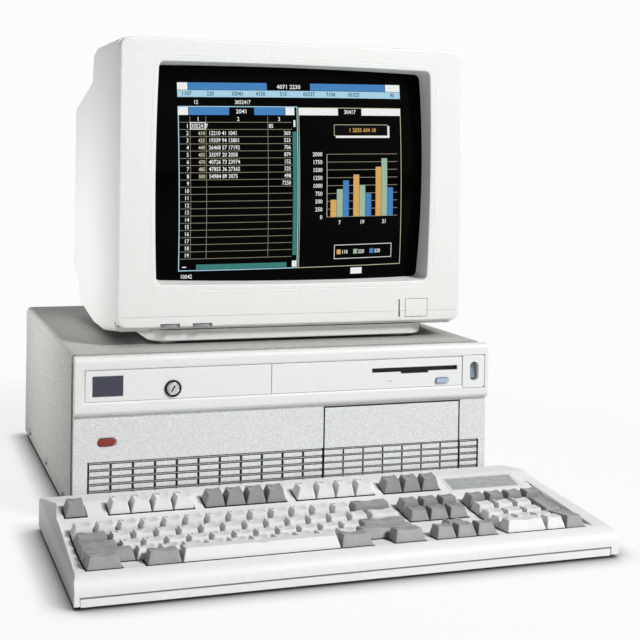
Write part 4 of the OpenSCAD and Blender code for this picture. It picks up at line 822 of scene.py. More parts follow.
class COMPUTER_OT_picture_tube(bpy.types.Operator):
    """Builds the glass tube: bulging face, funnel and neck"""

    bl_idname = "computer.picture_tube"
    bl_label = "Picture tube"

    def execute(self, context):
        half_w, half_h = (TUBE_HIGH.x - TUBE_LOW.x) / 2, (TUBE_HIGH.z - TUBE_LOW.z) / 2
        bm = bmesh.new()
        upright = Matrix.Translation((SCREEN_X, 0, SCREEN_Z)) @ Matrix.Rotation(math.pi / 2, 4, "X")
        bmesh.ops.create_grid(bm, x_segments=36, y_segments=28, size=1,
                              matrix=upright @ Matrix.Diagonal((half_w, half_h, 1, 1)))
        for v in bm.verts:
            v.co.y = glass_y(v.co.x, v.co.z)
        skirt = bmesh.ops.extrude_edge_only(bm, edges=[e for e in bm.edges if e.is_boundary])["geom"]
        for v in verts_in(skirt):
            v.co.y = TUBE_LOW.y + GLASS_DEPTH
        funnel = bmesh.ops.extrude_edge_only(bm, edges=edges_in(skirt))["geom"]
        for v in verts_in(funnel):
            angle = math.atan2((v.co.z - SCREEN_Z) / half_h, (v.co.x - SCREEN_X) / half_w)
            v.co = (SCREEN_X + NECK_RADIUS * math.cos(angle), TUBE_HIGH.y - NECK_LENGTH,
                    SCREEN_Z + NECK_RADIUS * math.sin(angle))
        neck = bmesh.ops.extrude_edge_only(bm, edges=edges_in(funnel))["geom"]
        bmesh.ops.translate(bm, vec=(0, NECK_LENGTH, 0), verts=verts_in(neck))
        bmesh.ops.contextual_create(bm, geom=edges_in(neck))
        face_outwards(bm)
        make_piece(bm, "tube_glass", COMPUTER, ["glass"], ["picture_tube"], even=False)
        merged("tube_yoke", "deflection_yoke", COMPUTER, "copper")
        dress("brown_board", "monitor_board")
        return {"FINISHED"}


# ---------------------------------------------------------------- lit picture

# Edges of the lit picture, and the line between its two windows, in millimetres round the middle of the tube
LEFT, RIGHT, TOP, BOTTOM = -121.8, 121, 94.2, -97.4
SPLIT = 2.4
TITLE_BAR = (TOP - 7.4, TOP)
WINDOW_TITLE = (TOP - 33, TOP - 25)
TABLE_TOP = TOP - 40.4
TABLE_ROWS, ROW_PITCH = 19, 7.3
DIGITS, HEADING = 5.8, 6  # sizes of the table's figures, and of those on bars and by the chart
FIGURE_DROP = 5.7  # from a row's upper line to the foot of its figures
RULE, SCALE_RULE = 0.22, 0.25  # half the widths of the table's and the chart's fine lines
SCALE_X, SCALE_Z = SPLIT + 31.5, BOTTOM + 52.5  # foot of the chart's scale
SCALE_STEPS, STEP_PITCH = 8, 8.2
BAR_WIDTH, BAR_PITCH, GROUP_PITCH = 6.7, 7.1, 26
BAR_HEIGHTS = ((18, 29, 38), (44, 33, 24), (52, 61, 30))
BAR_COLOURS = ("orange", "sage", "blue")
UPRIGHT = Matrix.Rotation(math.pi / 2, 4, "X")
COLOUR_ORDER = list(PICTURE)


def patch(bm, colour, x0, x1, z0, z1):
    """A filled rectangle in tiles of about 10 mm, so that it can follow the bulging glass."""
    start = len(bm.faces)
    tiles_x, tiles_z = max(1, round((x1 - x0) / 10)), max(1, round((z1 - z0) / 10))
    size = Matrix.Diagonal(((x1 - x0) / 2, (z1 - z0) / 2, 1, 1))
    place = UPRIGHT @ (Matrix.Translation(((x0 + x1) / 2, (z0 + z1) / 2, 0)) @ size)
    bmesh.ops.create_grid(bm, x_segments=tiles_x, y_segments=tiles_z, size=1, matrix=place)
    bm.faces.ensure_lookup_table()
    for face in bm.faces[start:]:
        face.material_index = COLOUR_ORDER.index(colour)


def write(bm, colour, text, x, z, size=5.6, align="LEFT", width=0.84):
    """Digits on the picture."""
    numerals(bm, text, x, z, size, UPRIGHT, COLOUR_ORDER.index(colour), align, width, 0.014)


def border(bm, colour, x0, x1, z0, z1, line=0.5):
    """The four lines round a window or box."""
    patch(bm, colour, x0, x1, z0, z0 + line)
    patch(bm, colour, x0, x1, z1 - line, z1)
    patch(bm, colour, x0, x0 + line, z0 + line, z1 - line)
    patch(bm, colour, x1 - line, x1, z0 + line, z1 - line)


def draw_bars(bm):
    """Title bar, strip of numbers and input line across the top of the picture."""
    patch(bm, "blue", LEFT + 11, LEFT + 92, *TITLE_BAR)
    patch(bm, "blue", LEFT + 139, RIGHT - 18, *TITLE_BAR)
    patch(bm, "white", LEFT, LEFT + 10.4, *TITLE_BAR)
    patch(bm, "white", RIGHT - 17.4, RIGHT, *TITLE_BAR)
    write(bm, "white", "4071 2230", LEFT + 115.5, TOP - 5.8, HEADING, "CENTER", 1.0)
    patch(bm, "cyan", LEFT, RIGHT, TOP - 14.8, TOP - 7.8)
    for i, number in enumerate((1107, 220, 33041, 4150, 512, 60337, 7104, 81025)):
        write(bm, "ink", str(number), LEFT + 4 + i * 25.4, TOP - 13.2, HEADING)
    write(bm, "ink", "90", RIGHT - 12, TOP - 13.2, HEADING)
    write(bm, "white", "12", LEFT + 16, TOP - 21.8, 5.6)
    write(bm, "white", "3052417", LEFT + 58, TOP - 21.8, 5.6)


def draw_table(bm):
    """The table's window, with its ruled rows, numbers and sliders."""
    patch(bm, "blue", LEFT + 11, LEFT + 52, *WINDOW_TITLE)
    patch(bm, "blue", LEFT + 78, SPLIT - 13.6, *WINDOW_TITLE)
    patch(bm, "white", LEFT, LEFT + 10.4, *WINDOW_TITLE)
    patch(bm, "white", SPLIT - 13, SPLIT - 3.4, *WINDOW_TITLE)
    write(bm, "white", "2041", LEFT + 65, TOP - 31.3, HEADING, "CENTER", 1.0)
    border(bm, "cyan", LEFT, SPLIT, BOTTOM, TOP - 24, 0.9)
    for i in range(TABLE_ROWS + 1):
        z = TABLE_TOP - i * ROW_PITCH
        patch(bm, "grid", LEFT + 1.5, SPLIT - 6.6, z - RULE, z + RULE)
        if i < TABLE_ROWS:
            write(bm, "white", str(i + 1), LEFT + 10.5, z - FIGURE_DROP, DIGITS, "RIGHT")
    for x in (LEFT + 12, LEFT + 28, LEFT + 92):
        patch(bm, "grid", x - 0.2, x + 0.2, TABLE_TOP - TABLE_ROWS * ROW_PITCH, TABLE_TOP + 6)
    for i, x in enumerate((LEFT + 19, LEFT + 60, LEFT + 103)):
        write(bm, "white", str(i + 1), x, TABLE_TOP + 1.4, DIGITS)
    write(bm, "white", "3052417", LEFT + 13, TABLE_TOP - FIGURE_DROP, DIGITS)
    write(bm, "white", "85", LEFT + 93, TABLE_TOP - FIGURE_DROP, DIGITS)
    border(bm, "white", LEFT + 12, LEFT + 28, TABLE_TOP - ROW_PITCH, TABLE_TOP, 0.8)
    for i in range(7):
        z = TABLE_TOP - (i + 1) * ROW_PITCH - FIGURE_DROP
        write(bm, "ivory", str(410 + 15 * i), LEFT + 26.8, z, 5.4, "RIGHT")
        first, middle, last = (i * 7129 + 2210) % 90000, (i * 53 + 31) % 90, (i * 3391 + 410) % 80000
        figures = f"{first + 10000} {middle + 10} {last + 10000}"[:13 + (i * 5) % 3]
        write(bm, "white", figures, LEFT + 30.5, z, DIGITS)
        write(bm, "white", f"{(i * 173 + 260) % 900 + 100}", SPLIT - 8, z, DIGITS, "RIGHT")
    write(bm, "white", "7250", SPLIT - 8, TABLE_TOP - 8 * ROW_PITCH - FIGURE_DROP, DIGITS, "RIGHT")
    # Slider strips of the table
    patch(bm, "teal", SPLIT - 5.8, SPLIT - 1.4, BOTTOM + 14, TOP - 50)
    patch(bm, "white", SPLIT - 4.6, SPLIT - 2.6, TOP - 45, TOP - 38)
    patch(bm, "white", SPLIT - 6, SPLIT - 1.2, BOTTOM + 1.6, BOTTOM + 8)
    patch(bm, "teal", LEFT + 18, SPLIT - 12, BOTTOM + 1.4, BOTTOM + 6.6)
    patch(bm, "white", LEFT + 4, LEFT + 8, BOTTOM + 3.6, BOTTOM + 4.6)


def draw_chart(bm):
    """The chart's window, with its scale, groups of bars and key, and the foot of the picture."""
    patch(bm, "white", SPLIT + 1, SPLIT + 45, *WINDOW_TITLE)
    patch(bm, "white", SPLIT + 72, RIGHT, *WINDOW_TITLE)
    write(bm, "white", "30417", SPLIT + 58.5, TOP - 31.4, HEADING, "CENTER", 0.9)
    border(bm, "ivory", SPLIT + 1, RIGHT, BOTTOM, TOP - 25, 0.6)
    patch(bm, "white", SPLIT + 42, RIGHT - 14, TOP - 56.5, TOP - 44)
    patch(bm, "dark", SPLIT + 40, RIGHT - 16, TOP - 54.5, TOP - 42.5)
    border(bm, "ivory", SPLIT + 40, RIGHT - 16, TOP - 54.5, TOP - 42.5, 0.5)
    write(bm, "orange", "1 2035 604 18", SPLIT + 72.6, TOP - 50.4, HEADING, "CENTER", 0.9)
    for i in range(SCALE_STEPS + 1):
        z = SCALE_Z + i * STEP_PITCH
        patch(bm, "grid", SCALE_X, RIGHT - 5, z - SCALE_RULE, z + SCALE_RULE)
        write(bm, "white", str(i * 250), SCALE_X - 5, z - 2, HEADING, "RIGHT", 0.9)
    patch(bm, "ivory", SCALE_X - 0.3, SCALE_X + 0.3, SCALE_Z, SCALE_Z + STEP_PITCH * SCALE_STEPS)
    for group, heights in enumerate(BAR_HEIGHTS):
        for i, (colour, height) in enumerate(zip(BAR_COLOURS, heights)):
            x = SCALE_X + 4 + group * GROUP_PITCH + i * BAR_PITCH
            patch(bm, colour, x, x + BAR_WIDTH, SCALE_Z, SCALE_Z + height)
        middle = SCALE_X + 14.5 + group * GROUP_PITCH
        write(bm, "white", str(12 * group + 7), middle, SCALE_Z - 8, HEADING, "CENTER", 0.9)
    border(bm, "white", SCALE_X + 9, RIGHT - 11, BOTTOM + 8, BOTTOM + 23, 0.6)
    for i, colour in enumerate(BAR_COLOURS):
        x = SCALE_X + 12 + i * 19
        patch(bm, colour, x, x + 4.5, BOTTOM + 13, BOTTOM + 18)
        write(bm, "white", str(110 * (i + 1)), x + 5.5, BOTTOM + 13.4, 5.6)
    patch(bm, "white", SPLIT + 60, SPLIT + 73, BOTTOM - 8.4, BOTTOM - 1.8)
    write(bm, "white", "10042", LEFT + 2, BOTTOM - 7.6, DIGITS)


LAYER = {name: 0.16 for name in PICTURE}  # how far each colour lies in front of the glass
LAYER.update(grid=0.12, dark=0.20, ivory=0.24, orange=0.24, ink=0.24)
PICTURE_LEAN = math.radians(-1.2)  # the coils sit a little askew on the tube's neck, and so does the picture


class COMPUTER_OT_picture(bpy.types.Operator):
    """Lays the lit picture on the glass: a table of numbers beside a bar chart"""

    bl_idname = "computer.picture"
    bl_label = "Picture"

    def execute(self, context):
        bm = bmesh.new()
        draw_bars(bm)
        draw_table(bm)
        draw_chart(bm)
        for face in bm.faces:
            for v in face.verts:
                v.co.y = -LAYER[COLOUR_ORDER[face.material_index]]
        bmesh.ops.rotate(bm, cent=(0, 0, 0), matrix=Matrix.Rotation(PICTURE_LEAN, 3, "Y"), verts=bm.verts)
        for v in bm.verts:
            v.co.x += SCREEN_X
            v.co.z += SCREEN_Z
            v.co.y += glass_y(v.co.x, v.co.z)
        glow = ["picture_" + colour for colour in COLOUR_ORDER]
        make_piece(bm, "picture", COMPUTER, glow, even=False)
        return {"FINISHED"}


# ---------------------------------------------------------------- system unit

BAND_DROP = 13.7  # from the fascias' foot to the foot of the moulded band round them
PAINTED_SHADOW_WIDTH = 4  # of the painted shadow strip along the cover's sides, next to the front


def shade_louvres(bm, slot):
    """Paints half shade on the set-back slats, and near-black shade on the slots' walls and in the joint
    round the bay cover.

    The two finishes for them start at slot. Depths are measured from the bay cover's face.
    """
    low, high = corners("bay_cover")
    slats = [f for f in bm.faces if f.normal.y < -0.9 and 0.4 < f.calc_center_median().y - low.y < 0.8]
    heights = [f.calc_center_median().z for f in slats]
    foot, head = min(heights) - 2, max(heights) + 2
    for face in bm.faces:
        middle = face.calc_center_median()
        depth = middle.y - low.y
        in_grille = foot < middle.z < head and -0.2 < depth < 3.2
        slot_wall = in_grille and (abs(face.normal.x) > 0.3 or (abs(face.normal.y) < 0.5 and depth > 0.35))
        side = min(abs(middle.x - low.x), abs(middle.x - high.x)) < 1.2 and low.z < middle.z < high.z + 1.2
        top = abs(middle.z - high.z) < 1.2 and low.x - 1.2 < middle.x < high.x + 1.2
        joint = (side or top) and abs(face.normal.y) < 0.95 and -0.5 < depth < 4
        # Slot walls and the joint get painted near-black shade; the slats below get painted half shade
        if slot_wall or joint:
            face.material_index = slot + 1
    for face in slats:
        face.material_index = slot


class COMPUTER_OT_case(bpy.types.Operator):
    """Builds the system unit's cover, moulded front, fascias and bay cover"""

    bl_idname = "computer.case"
    bl_label = "System unit"

    def execute(self, context):
        shell = ease_edges(copied("case_cover"), 0.5)
        lip = corners("case_cover")[0].y + PAINTED_SHADOW_WIDTH
        bmesh.ops.bisect_plane(shell, geom=shell.verts[:] + shell.edges[:] + shell.faces[:],
                               plane_co=(0, lip, 0), plane_no=(0, 1, 0))
        # Side faces of the strip next to the front get painted shadow, where the cover meets the front
        for face in shell.faces:
            face.material_index = int(face.calc_center_median().y < lip and abs(face.normal.x) > 0.3)
        make_piece(shell, "case_cover_shell", COMPUTER, ["cover", "shade"], ["case_cover"])

        front = ease_edges(copied("front_bezel"), context.scene.computer_forms.case_edge)
        band_low = corners("left_fascia")[0].z - BAND_DROP
        for face in front.faces:
            face.material_index = int(face.calc_center_median().z < band_low - 1)
        shade_louvres(front, 2)
        make_piece(front, "case_front", COMPUTER, ["front", "lower_front", "slat", "shade"],
                   ["front_bezel"])
        softened("left_plate", "left_fascia", COMPUTER, "fascia", 0.3)
        softened("right_plate", "right_fascia", COMPUTER, "fascia", 0.3)
        cover = ease_edges(copied("bay_cover"), 0.4)
        shade_louvres(cover, 1)
        make_piece(cover, "drive_bay_cover", COMPUTER, ["lower_front", "slat", "shade"],
                   ["bay_cover"])
        softened("badge", "badge_plate", COMPUTER, "badge", 0.25)
        merged("case_cover_screws", "case_screws", COMPUTER, "steel")
        merged("case_rubber_feet", "case_feet", COMPUTER, "rubber")
        return {"FINISHED"}


def key_lock():
    """The plated lock with its polished ring painted near black for its dark reflections, and the barrel that
    turns in it.
    """
    low, high = corners("key_lock_body")
    x, z = front_middle("key_lock_body")
    front, back, outer, bore = low.y, high.y, (high.x - low.x) / 2, 5.05

    def off_axis(face):
        middle = face.calc_center_median()
        return math.hypot(middle.x - x, middle.z - z)

    collar = bmesh.new()
    turned(collar, (x, 0, z), [(bore, back), (bore, front + 0.9), (5.3, front + 0.35), (6.0, front + 0.1),
                               (6.6, front + 0.02), (7.8, front + 0.25), (outer, front + 0.7),
                               (outer, front + 1.6), (7, front + 1.7), (7, back), (bore, back)])
    for face in collar.faces:
        # The ring's front faces get the near-black finish: painted dark reflection
        face.material_index = int(face.calc_center_median().y < front + 1.7 and off_axis(face) > 6)
    make_piece(collar, "lock_ring", COMPUTER, ["lock_metal", "lock_ring"], ["key_lock_body"],
               sharp=50)

    plug = copied("key_lock_plug")
    sunk = corners("key_lock_plug")[0].y + 0.2
    # The keyhole's walls and floor get the black finish: painted shade deep in the slot
    for face in plug.faces:
        inner = abs(face.normal.y) < 0.5 or face.calc_center_median().y > sunk
        face.material_index = int(off_axis(face) < 4 and inner)
    make_piece(plug, "lock_barrel", "lock_plug", ["lock_metal", "black"], ["key_lock_plug"])


def reset_button():
    """The red oblong button, with the flange that holds it in."""
    low, high = corners("reset_button")
    x, z = front_middle("reset_button")
    bm = bmesh.new()
    oblong(bm, x, z, 16.6, 7, [(0, high.y), (0, low.y + 1.2), (0.3, low.y + 0.4), (1.0, low.y)])
    block(bm, (x - 10, low.y + 5.9, low.z), (x + 10, low.y + 7.2, high.z))
    make_piece(bm, "reset_cap", "reset", ["red"], ["reset_button"])


def eject_button():
    """The blue oblong button with its darker edge and its stem's block."""
    low, high = corners("eject_button")
    x, z = front_middle("eject_button")
    bm = bmesh.new()
    oblong(bm, x, z, 14.8, 5.0, [(0, low.y + 6), (0, low.y + 0.7), (0.25, low.y + 0.2), (0.8, low.y)])
    for face in bm.faces:
        face.material_index = int(abs(face.normal.y) < 0.5)
    block(bm, (x - 8.6, low.y + 5.7, low.z), (x + 8.6, high.y, high.z))
    make_piece(bm, "eject_cap", "eject", ["blue", "blue_line"], ["eject_button"])


class COMPUTER_OT_case_controls(bpy.types.Operator):
    """Builds the key lock, reset button, power rocker and diskette controls"""

    bl_idname = "computer.case_controls"
    bl_label = "Case controls"

    def execute(self, context):
        key_lock()
        reset_button()
        softened("switch_surround", "switch_plate", COMPUTER, "fascia", 0.35)
        merged("rocker", "power_rocker", "rocker", "rocker")
        eject_button()
        merged("disk_slot_flap", "floppy_flap", "disk_flap", "black")
        dress("black", "floppy_drive")
        dress("green_lens", "drive_light")
        return {"FINISHED"}


class COMPUTER_OT_inside(bpy.types.Operator):
    """Gives the chassis, drives, boards, supply and fan their finishes"""

    bl_idname = "computer.inside"
    bl_label = "Inside"

    def execute(self, context):
        dress("steel", "chassis_base", "drive_cage", "power_supply", "slot_covers")
        dress("drive_metal", "hard_drive")
        dress("board", "motherboard", "adapter_card", "keyboard_board")
        dress("dark", "speaker", "key_switches")
        merged("supply_fan_rotor", "supply_fan", "fan", "black")
        return {"FINISHED"}


# ---------------------------------------------------------------- keyboard

KEYBOARD_SEAM = 9.5  # height at which the keyboard's two halves meet
CAP_LIFT = 0.4  # gap between a cap and the deck
LEAN_SIDE, LEAN_FRONT, LEAN_BACK = 2.9, 3.6, 1.8  # how far a cap's sides lean in at the top
CAP_CORNER, CAP_BRIM = 1.1, 0.55  # roundings of a cap's upright corners and of its top's edge
HOLLOW_HALF = 7.5  # half the width of the hollow in a cap's top
# How much lower than the cap's height its front and back top edges are, from the space bar's row upwards
FRONT_SINK = (0.7, 2.1, 2.5, 1.8, -0.3, 0)
BACK_SINK = (0.9, 3.1, 3.4, 2.4, 1.3, 0.7)
LEGEND_SIZES = {1: 5.0, 2: 4.2, 3: 3.8}  # by number of letters; longer ones are LONG_LEGEND
LONG_LEGEND = 3.2
LEGEND_LEFT, LEGEND_DROP = 4.2, 4.9  # from the key's left edge, and below its top's back edge

# A key's first column and width in columns, its first row and depth in rows, and whether it is dark
Key = namedtuple("Key", "column width row depth dark")


def run_of(first, count, row, dark=False):
    """Neighbouring single keys of one row."""
    return [Key(first + i, 1, row, 1, dark) for i in range(count)]


# Row 0 holds the space bar and row 5 the function keys
KEYS = {
    "key_escape": [Key(0, 1, 5, 1, True)],
    "keys_function": run_of(2, 4, 5) + run_of(6.5, 4, 5, True) + run_of(11, 4, 5),
    "keys_system": run_of(15.5, 3, 5, True),
    "keys_number_row": run_of(0, 13, 4) + [Key(13, 2, 4, 1, True)],
    "keys_upper_row": [Key(0, 1.5, 3, 1, True)] + run_of(1.5, 12, 3) + [Key(13.5, 1.5, 3, 1, False)],
    "keys_home_row": [Key(0, 1.75, 2, 1, True)] + run_of(1.75, 11, 2),
    "key_enter": [Key(12.75, 2.25, 2, 1, True)],
    "keys_lower_row": [Key(0, 2.25, 1, 1, True)] + run_of(2.25, 10, 1) + [Key(12.25, 2.75, 1, 1, True)],
    "keys_control": [Key(column, 1.5, 0, 1, True) for column in (0, 2.5, 11, 13.5)],
    "key_space": [Key(4, 7, 0, 1, False)],
    "keys_editing": run_of(15.5, 3, 4, True) + run_of(15.5, 3, 3, True),
    "keys_cursor": [Key(16.5, 1, 1, 1, True)] + run_of(15.5, 3, 0, True),
    "keys_numpad": run_of(19, 4, 4, True) + run_of(19, 3, 3) + run_of(19, 3, 2) + run_of(19, 3, 1)
    + [Key(19, 2, 0, 1, False), Key(21, 1, 0, 1, False), Key(22, 1, 2, 2, True), Key(22, 1, 0, 2, True)],
}
LEGENDS = {
    "key_escape": ["Esc"],
    "keys_function": [f"F{i}" for i in range(1, 13)],
    "keys_system": ["Print", "Scroll", "Pause"],
    "keys_number_row": ["`", "1", "2", "3", "4", "5", "6", "7", "8", "9", "0", "-", "=", "Back"],
    "keys_upper_row": ["Tab"] + list("QWERTYUIOP[]") + ["\\"],
    "keys_home_row": ["Caps"] + list("ASDFGHJKL;'"),
    "key_enter": ["Enter"],
    "keys_lower_row": ["Shift"] + list("ZXCVBNM,./") + ["Shift"],
    "keys_control": ["Ctrl", "Alt", "Alt", "Ctrl"],
    "key_space": [""],
    "keys_editing": ["Ins", "Home", "PgUp", "Del", "End", "PgDn"],
    "keys_cursor": ["^", "<", "v", ">"],
    "keys_numpad": ["Num", "/", "*", "-", "7", "8", "9", "4", "5", "6", "1", "2", "3", "0", ".", "+", "Ent"],
}


def key_size(key):
    """A cap's width and depth at its foot."""
    return key.width * KEY_PITCH - CAP_GAP, key.depth * KEY_PITCH - CAP_GAP


def key_place(key):
    """A key's own frame: origin on the deck at its middle, Z along its travel."""
    y = row_y(key.row) + key.depth * KEY_PITCH / 2
    x = KEY_COLUMN_X + (key.column + key.width / 2) * KEY_PITCH
    return Matrix.Translation((x, y, deck_at(y))) @ Matrix.Rotation(tilt_at(y), 4, "X")


def cap_tops(key, height):
    """Heights of a cap's front and back top edges over the deck, which change from row to row."""
    return CAP_LIFT + height - FRONT_SINK[key.row], CAP_LIFT + height - BACK_SINK[key.row + key.depth - 1]


def rim_of(width):
    """Half the width of a cap's hollow, which narrow caps make smaller."""
    return min(HOLLOW_HALF, width / 2 - LEAN_SIDE)


def hollow(x, rim, dish):
    """Depth of the hollow across a cap's top."""
    return dish * max(0, 1 - (x / rim) ** 2)


def cap(bm, key, forms):
    """A sculpted key cap: leaning sides, softened edges and a hollow top."""
    width, depth = key_size(key)
    front, back = cap_tops(key, forms.cap_height)
    rim = rim_of(width)
    before = set(bm.verts)

    def fresh():
        return [v for v in bm.verts if v not in before]

    block(bm, (-width / 2, -depth / 2, CAP_LIFT), (width / 2, depth / 2, CAP_LIFT + forms.cap_height))
    for v in fresh():
        if v.co.z > CAP_LIFT + 1:
            level = front if v.co.y < 0 else back
            v.co.x -= math.copysign(LEAN_SIDE * min(1, (level - CAP_LIFT) / forms.cap_height), v.co.x)
            v.co.y += LEAN_FRONT if v.co.y < 0 else -LEAN_BACK
            v.co.z = level
    uprights = [e for e in edges_of(fresh()) if abs(e.verts[0].co.z - e.verts[1].co.z) > 3]
    rounded(bm, uprights, CAP_CORNER, 3)
    for i in range(forms.cap_steps + 1):
        # The outer cuts stay a little inside the hollow's rim, clear of the rounded corners
        cut_x = (-rim + 2 * rim * i / forms.cap_steps) * 0.97
        verts = fresh()
        bmesh.ops.bisect_plane(bm, geom=verts + edges_of(verts) + faces_of(verts), dist=0.0001,
                               plane_co=(cut_x, 0, 0), plane_no=(1, 0, 0))
    for v in fresh():
        if v.co.z > CAP_LIFT + 3 and abs(v.co.x) < rim:
            v.co.z -= hollow(v.co.x, rim, forms.cap_dish)
    faces = faces_of(fresh())
    for face in faces:
        face.normal_update()
    top = {face for face in faces if face.normal.z > 0.6}
    brim = [e for e in edges_of(fresh()) if len([face for face in e.link_faces if face in top]) == 1]
    rounded(bm, brim, CAP_BRIM)
    bmesh.ops.transform(bm, matrix=key_place(key), verts=fresh())


def cap_print(bm, key, legend, forms):
    """A key's legend, laid along the slope and hollow of its cap's top."""
    width, depth = key_size(key)
    front, back = cap_tops(key, forms.cap_height)
    before = len(bm.verts)
    size = LEGEND_SIZES.get(len(legend), LONG_LEGEND)
    x, y = LEGEND_LEFT - key.width * KEY_PITCH / 2, depth / 2 - LEAN_BACK - LEGEND_DROP
    numerals(bm, legend, x, y, size, bold=0.02)
    bm.verts.ensure_lookup_table()
    print_verts = bm.verts[before:]
    for v in print_verts:
        along = (v.co.y + depth / 2 - LEAN_FRONT) / (depth - LEAN_FRONT - LEAN_BACK)
        v.co.z = front + (back - front) * along - hollow(v.co.x, rim_of(width), forms.cap_dish) + 0.08
    bmesh.ops.transform(bm, matrix=key_place(key), verts=print_verts)


class COMPUTER_OT_keys(bpy.types.Operator):
    """Builds every key cap, light and dark, with its legend"""

    bl_idname = "computer.keys"
    bl_label = "Keys"

    def execute(self, context):
        forms = context.scene.computer_forms
        for node, keys in KEYS.items():
            body = node.replace("keys_", "caps_").replace("key_", "cap_")
            for shade in ("light", "dark"):
                chosen = [key for key in keys if key.dark == (shade == "dark")]
                if chosen:
                    caps = bmesh.new()
                    for key in chosen:
                        cap(caps, key, forms)
                    name, plastic = f"{body}_{shade}", f"{shade}_key"
                    make_piece(caps, name, body, [plastic], [node], sharp=30)
            legends = [(key, legend) for key, legend in zip(keys, LEGENDS[node]) if legend]
            if legends:
                prints = bmesh.new()
                for key, legend in legends:
                    cap_print(prints, key, legend, forms)
                make_piece(prints, body + "_legends", body, ["legend"], even=False)
        return {"FINISHED"}


class COMPUTER_OT_keyboard_case(bpy.types.Operator):
    """Builds the keyboard's two halves, label plate, pads and folding feet"""

    bl_idname = "computer.keyboard_case"
    bl_label = "Keyboard case"

    def execute(self, context):
        halves = (("keyboard_deck", "keyboard_top", 0.6), ("keyboard_tray", "keyboard_bottom", 0.8))
        for name, node, radius in halves:
            bm = ease_edges(copied(node), radius)
            for face in bm.faces:
                # Faces beside the seam get painted half shade, for the shade in the groove between the two
                # halves
                beside_seam = -1 < face.calc_center_median().z - KEYBOARD_SEAM < 0.4
                face.material_index = int(beside_seam and abs(face.normal.z) > 0.25)
            make_piece(bm, name, KEYBOARD, ["keyboard", "slat"], [node])
        plate = ease_edges(copied("label_plate"), 0.2)
        for face in plate.faces:
            face.material_index = 1
        top = max(plate.faces, key=lambda f: (f.normal.z > 0.7) * f.calc_area())
        # Inside the plate's pale edge lie a thin grey line, a thin pale line and the grey field
        for index, step in ((0, 1.6), (1, 0.5), (0, 0.6)):
            bmesh.ops.inset_region(plate, faces=[top], thickness=step, depth=0, use_even_offset=True)
            top.material_index = index
        make_piece(plate, "keyboard_label", KEYBOARD, ["label", "line"], ["label_plate"])
        merged("keyboard_rubber_pads", "keyboard_pads", KEYBOARD, "rubber")
        merged("left_flip_foot", "flip_foot_left", "left_foot", "keyboard")
        merged("right_flip_foot", "flip_foot_right", "right_foot", "keyboard")
        return {"FINISHED"}


# ---------------------------------------------------------------- stage

PAPER = (0.975, 0.975, 0.975 * 0.995, 1)  # near white, as the camera sees the surroundings
NEAR, FAR = 0.42, 0.85  # distances from the middle between which the floor fades into the surroundings
CAMERA_PLACE = (-0.3797, -1.2896, 0.3463)
CAMERA_YAW, CAMERA_PITCH, CAMERA_ROLL = math.radians(19.02), math.radians(0.804), math.radians(0.894)


def blended(tree, amount, first, second):
    """A shader that goes from the first to the second as the amount goes from 0 to 1."""
    mix = new_node(tree, "MixShader")
    for source, socket in zip((amount, first, second), mix.inputs):
        tree.links.new(source, socket)
    return mix.outputs[0]


def lifted_floor(tree, floor_lift):
    """The floor near the computer: lifted to white but for a faint shadow, with painted contact shade where
    things stand close.
    """
    # Ambient occlusion takes the lift away near contacts: painted contact shade
    contact_shade = new_node(tree, "AmbientOcclusion", {"Distance": 0.032})
    strength = new_node(tree, "MapRange", {"From Min": 0.42, "From Max": 0.95, "To Max": floor_lift})
    lift = new_node(tree, "Emission")
    faint = new_node(tree, "BsdfDiffuse", {"Color": (0.15, 0.15, 0.15, 1)})
    lifted = new_node(tree, "AddShader")
    tree.links.new(contact_shade.outputs["AO"], strength.inputs["Value"])
    tree.links.new(strength.outputs["Result"], lift.inputs["Strength"])
    tree.links.new(faint.outputs[0], lifted.inputs[0])
    tree.links.new(lift.outputs[0], lifted.inputs[1])
    return lifted.outputs[0]


def away_from_middle(tree):
    """A value that rises from 0 to 1 between two distances from the middle of the floor."""
    place = new_node(tree, "TexCoord")
    reach = new_node(tree, "VectorMath", operation="LENGTH")
    fade = new_node(tree, "MapRange", {"From Min": NEAR, "From Max": FAR}, interpolation_type="SMOOTHSTEP")
    tree.links.new(place.outputs["Object"], reach.inputs[0])
    tree.links.new(reach.outputs["Value"], fade.inputs["Value"])
    return fade.outputs["Result"]


def floor_paper(floor_lift):
    """Pale paper; only the camera sees it lifted, and its light on the computer stays a plain bounce."""
    material, tree, shader = new_finish("floor_paper")
    tree.nodes.remove(shader)
    matt = new_node(tree, "BsdfDiffuse", {"Color": (0.80, 0.80, 0.80, 1)}).outputs[0]
    plain = new_node(tree, "Emission", {"Color": PAPER}).outputs[0]
    seen = blended(tree, away_from_middle(tree), lifted_floor(tree, floor_lift), plain)
    by_camera = new_node(tree, "LightPath").outputs["Is Camera Ray"]
    tree.links.new(blended(tree, by_camera, matt, seen), tree.nodes["Material Output"].inputs["Surface"])
    return material


def surroundings(ambient):
    """A dim even light from all round, which the camera, gloss and glass see as the pale paper."""
    world = bpy.data.worlds.new("surroundings")
    world.use_nodes = True
    tree = world.node_tree
    even = tree.nodes["Background"]
    set_sockets(even, {"Color": (1, 1, 0.995, 1), "Strength": ambient})
    backdrop = new_node(tree, "Background", {"Color": PAPER})
    path = new_node(tree, "LightPath")
    shown = path.outputs["Is Camera Ray"]
    for ray in ("Is Glossy Ray", "Is Transmission Ray"):
        either = new_node(tree, "Math", operation="ADD", use_clamp=True)
        tree.links.new(shown, either.inputs[0])
        tree.links.new(path.outputs[ray], either.inputs[1])
        shown = either.outputs[0]
    light = blended(tree, shown, even.outputs[0], backdrop.outputs[0])
    tree.links.new(light, tree.nodes["World Output"].inputs["Surface"])
    return world


